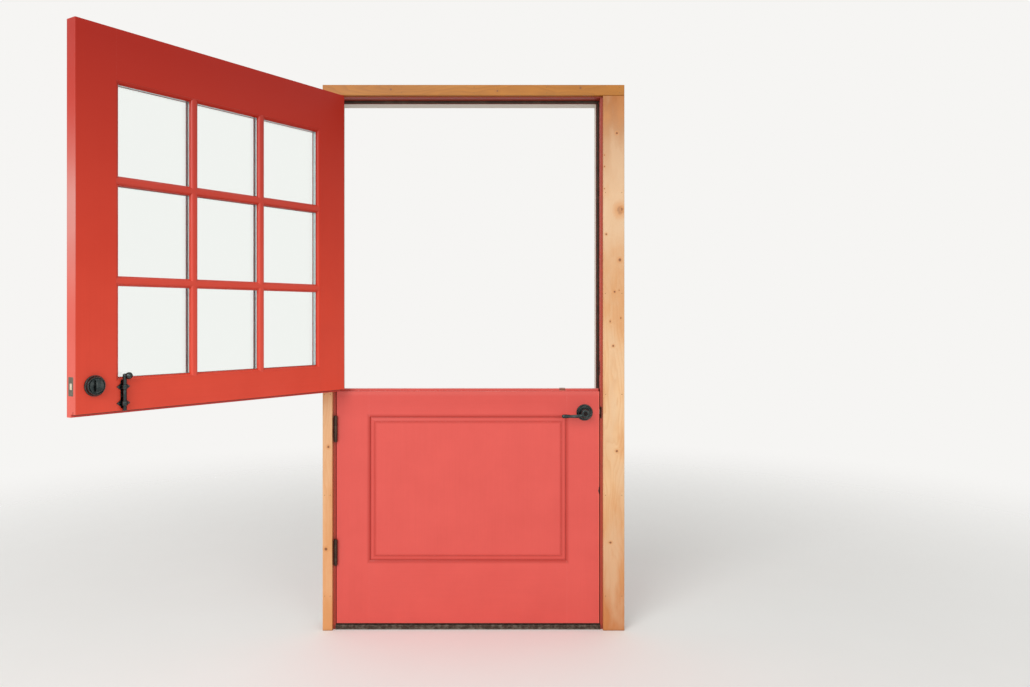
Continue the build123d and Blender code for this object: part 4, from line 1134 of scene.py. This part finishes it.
@dataclass
class DoorFrame(SubAssembly):
    """The frame that stands still: jambs, head, sill, casings, seals, strikes, hinge leaves."""

    latch_face: float = 536.6
    strike_centre_y: float = 18.0
    strike_screw_rise: float = 21.5
    casing_front: float = -19.0
    nails_along: int = 5
    hinge_nails_x: Span = (-555.0, -577.0)
    latch_nails_x: Span = (556.0, 622.0)
    lowest_nail: float = 140.0
    nail_pitch: float = 407.0
    head_first_nail: float = -560.0
    head_nail_pitch: float = 293.0
    head_nail_rise: float = 11.0

    def coats(self) -> Coats:
        """The solids of the frame by finish."""
        return {
            "side_jamb_enamel": ("hinge_jamb", "latch_jamb"),
            "hinge_casing_pine": ("hinge_casing",),
            "frame_seal_foam": (
                "hinge_weatherstrip", "latch_weatherstrip", "head_weatherstrip", "sill_seal",
            ),
            "latch_casing_pine": ("latch_casing",),
            "head_jamb_enamel": ("head_jamb",),
            "head_casing_pine": ("head_casing",),
            "anodised_sill": ("sill",),
            "strike_bronze": ("latch_strike", "deadbolt_strike"),
            "hinge_bronze": (
                "hinge_pins",
                *ButtHinge().carriers("upper", "frame"), *ButtHinge().carriers("lower", "frame"),
            ),
        }

    def fixings(self) -> list[FixingSet]:
        """The screws of the hinge leaves and strikes, and the casings' nails.

        Returns:
            The sets.
        """
        sets = [
            screws
            for leaf in ("upper", "lower")
            for screws in ButtHinge().screws(leaf, "frame", "hinge_bronze")
        ]
        for strike in ("latch_strike", "deadbolt_strike"):
            seats = [
                Seat(self.latch_face, self.strike_centre_y, level_of(strike) + rise, (-1.0, 0.0, 0.0))
                for rise in (-self.strike_screw_rise, self.strike_screw_rise)
            ]
            sets.append(FixingSet(f"{strike}_screws", "frame", "hinge_bronze", seats))
        heights = [self.lowest_nail + row * self.nail_pitch for row in range(self.nails_along)]
        columns = [self.head_first_nail + row * self.head_nail_pitch for row in range(self.nails_along)]
        middle = level_of("head_casing")
        rises = (middle - self.head_nail_rise, middle + self.head_nail_rise)
        for side, places in (
            ("hinge", [(x, z) for z in heights for x in self.hinge_nails_x]),
            ("latch", [(x, z) for z in heights for x in self.latch_nails_x]),
            ("head", [(x, z) for x in columns for z in rises]),
        ):
            seats = [Seat(x, self.casing_front, z, (0.0, -1.0, 0.0)) for x, z in places]
            sets.append(FixingSet(f"{side}_casing_nails", "frame", "nail_bronze", seats, FinishNail()))
        return sets


@dataclass
class UpperLeaf(SubAssembly):
    """The glazed leaf that stands open, with its deadbolt and its slide bolt."""

    bolt_face_y: float = 47.5
    bolt_x: float = 384.4
    ear_reach: float = 13.8
    ear_levels: Span = (999.5, 1050.5)

    def coats(self) -> Coats:
        """The solids of the upper leaf by finish."""
        return {
            "upper_stile_enamel": (
                "upper_hinge_stile", "upper_lock_stile", "hinge_glazing_bead", "lock_glazing_bead",
            ),
            "glazing_bar_enamel": ("outer_glazing_bars", "inner_glazing_bars"),
            "upper_rail_enamel": (
                "upper_top_rail", "upper_meeting_rail", "top_glazing_bead", "bottom_glazing_bead",
            ),
            "float_glass": ("outer_pane", "inner_pane"),
            "spacer_aluminium": ("glass_spacer",),
            "leaf_seal_foam": ("meeting_seal",),
            "upper_bronze": (
                "deadbolt_rose", "deadbolt_collar", "thumb_turn", "slide_bolt_plate", "slide_bolt_rod",
                *ButtHinge().carriers("upper", "door"),
            ),
            "upper_plate_steel": ("deadbolt_case",),
            "upper_bolt_steel": ("deadbolt", "deadbolt_cylinder"),
        }

    def fixings(self) -> list[FixingSet]:
        """The screws of the hinge leaves, the face plate and the slide bolt's plate.

        Returns:
            The sets.
        """
        body, bronze = "upper_leaf", "upper_bronze"
        ears = [
            Seat(x, self.bolt_face_y, z, (0.0, 1.0, 0.0))
            for z in self.ear_levels
            for x in (self.bolt_x - self.ear_reach, self.bolt_x + self.ear_reach)
        ]
        small = CountersunkScrew(2.8, rim=0.3, recess_length=1.7, recess_half_width=0.45)
        return [
            *ButtHinge().screws("upper", "door", bronze),
            LockEdge().screws("deadbolt_case", body, "upper_plate_steel", slot="steel_bolt", opened=True),
            FixingSet("slide_bolt_screws", body, bronze, ears, small, opened=True),
        ]


@dataclass
class LowerLeaf(SubAssembly):
    """The panelled leaf that stands shut, with its latch, levers and keeper."""

    strap_x: float = 384.4
    strap_face_y: float = 22.25
    strap_level: float = 970.0
    strap_reach: float = 7.6

    def coats(self) -> Coats:
        """The solids of the lower leaf by finish."""
        return {
            "lower_stile_enamel": ("lower_hinge_stile", "lower_latch_stile", "raised_panel"),
            "lower_top_rail_enamel": ("lower_top_rail",),
            "lower_rail_enamel": ("lower_bottom_rail",),
            "lever_bronze": (
                "outside_rose", "outside_lever", "inside_rose", "inside_lever", "turn_button",
            ),
            "keeper_bronze": ("bolt_keeper",),
            "cylinder_bronze": ("key_cylinder",),
            "hinge_bronze": (*ButtHinge().carriers("lower", "door"), "latch_case"),
            "bolt_steel": ("latch_bolt",),
        }

    def fixings(self) -> list[FixingSet]:
        """The screws of the hinge leaves, the face plate and the keeper's strap.

        Returns:
            The sets.
        """
        body, bronze = "lower_leaf", "hinge_bronze"
        strap = [
            Seat(x, self.strap_face_y, self.strap_level, (0.0, -1.0, 0.0))
            for x in (self.strap_x - self.strap_reach, self.strap_x + self.strap_reach)
        ]
        tiny = CountersunkScrew(2.0, rim=0.25, sunk=0.8, recess_length=1.2, recess_half_width=0.3)
        return [
            *ButtHinge().screws("lower", "door", bronze),
            LockEdge().screws("latch_case", body, bronze),
            FixingSet("bolt_keeper_screws", body, "keeper_bronze", strap, tiny),
        ]


@dataclass(frozen=True)
class Softbox:
    """A round soft lamp, its width and its watts, aimed at the door's middle."""

    name: str
    place: Triple
    size: float
    power: float
    target: Triple = (0.0, 0.0, 1000.0)

    def hang(self) -> None:
        """Hangs the lamp."""
        data = bpy.data.lights.new(self.name, "AREA")
        data.shape = "DISK"
        data.size = self.size / METRE
        data.energy = self.power
        lamp = bpy.data.objects.new(self.name, data)
        lamp.location = Vector(self.place) / METRE
        aim = Vector(self.target) - Vector(self.place)
        lamp.rotation_euler = aim.to_track_quat("-Z", "Y").to_euler()
        bpy.context.scene.collection.objects.link(lamp)


@dataclass
class Studio:
    """A pale floor, even soft light and the camera of the photograph."""

    lens: float = 28.64
    sensor_width: float = 36.0
    eye: Triple = (190.92, -3324.75, 1265.5)
    shift_y: float = -0.02563
    floor_half_width: float = 9000.0
    floor_fade: Span = (1300.0, 5200.0)
    floor_colour: str = "#fafaf8"
    backdrop_colour: str = "#f6f5f3"
    sky_level: float = 0.62
    lamps: tuple[Softbox, ...] = (
        Softbox("front_left_softbox", (-2400.0, -5200.0, 3600.0), 4000.0, 190.0),
        Softbox("front_right_softbox", (3000.0, -5600.0, 2400.0), 3000.0, 55.0),
    )

    def lay_floor(self) -> None:
        """Lays the floor, which fades into the backdrop beyond the object's shadow."""
        mesh = bmesh.new()
        bmesh.ops.create_grid(mesh, x_segments=24, y_segments=24, size=self.floor_half_width / METRE)
        data = bpy.data.meshes.new("studio_floor")
        mesh.to_mesh(data)
        mesh.free()
        floor = bpy.data.objects.new("studio_floor", data)
        bpy.context.scene.collection.objects.link(floor)
        s = Surface("studio_floor_paint")
        cloudy = Tint(self.backdrop_colour, s.uneven(METRE / 3, 4.0), (0.3, 0.7), 0.25)
        s.give(Base_Color=s.tinted(self.floor_colour, cloudy), Roughness=0.9)
        reach = s.node("VectorMath", (s.point,), out="Value", operation="LENGTH")
        far = s.node("MapRange", (reach, *self.floor_fade), interpolation_type="SMOOTHSTEP")
        both = s.node("MixShader", (far, s.shader.outputs[0], s.node("BsdfTransparent")))
        fill(s.end, {"Surface": both})
        data.materials.append(s.material)

    def light_world(self) -> None:
        """Makes the world: white to the eye, to metal and to glass, softer as a light."""
        world = bpy.data.worlds.new("studio_world")
        world.use_nodes = True
        bpy.context.scene.world = world
        tree = world.node_tree
        tree.nodes.clear()
        path = add(tree, "LightPath").outputs
        seen = path["Is Camera Ray"]
        for ray in ("Is Glossy Ray", "Is Transmission Ray"):
            seen = add(tree, "Math", (seen, path[ray]), operation="MAXIMUM").outputs[0]
        strength = add(tree, "MapRange", (seen, 0.0, 1.0, self.sky_level, 1.0)).outputs[0]
        sky = add(tree, "Background", {"Color": self.backdrop_colour, "Strength": strength})
        add(tree, "OutputWorld", {"Surface": sky.outputs[0]})

    def place_camera(self) -> None:
        """Sets the camera level at eye height, looking along +Y."""
        data = bpy.data.cameras.new("photo_camera")
        data.lens = self.lens
        data.sensor_width = self.sensor_width
        data.sensor_fit = "HORIZONTAL"
        data.shift_y = self.shift_y
        camera = bpy.data.objects.new("photo_camera", data)
        camera.location = Vector(self.eye) / METRE
        camera.rotation_euler = (math.pi / 2, 0, 0)
        bpy.context.scene.collection.objects.link(camera)
        bpy.context.scene.camera = camera
        bpy.context.scene.view_settings.view_transform = "Standard"

    def build(self) -> None:
        """Builds the whole studio."""
        self.lay_floor()
        self.light_world()
        for lamp in self.lamps:
            lamp.hang()
        self.place_camera()
        log.info("built the studio")


def main() -> None:
    """Dresses the door, adds its fixings and builds the studio."""
    logging.basicConfig(level=logging.INFO, format="%(name)s %(message)s")
    palette = Palette()
    for part in (DoorFrame(), UpperLeaf(), LowerLeaf()):
        part.build(palette)
    Studio().build()


if __name__ == "__main__":
    main()
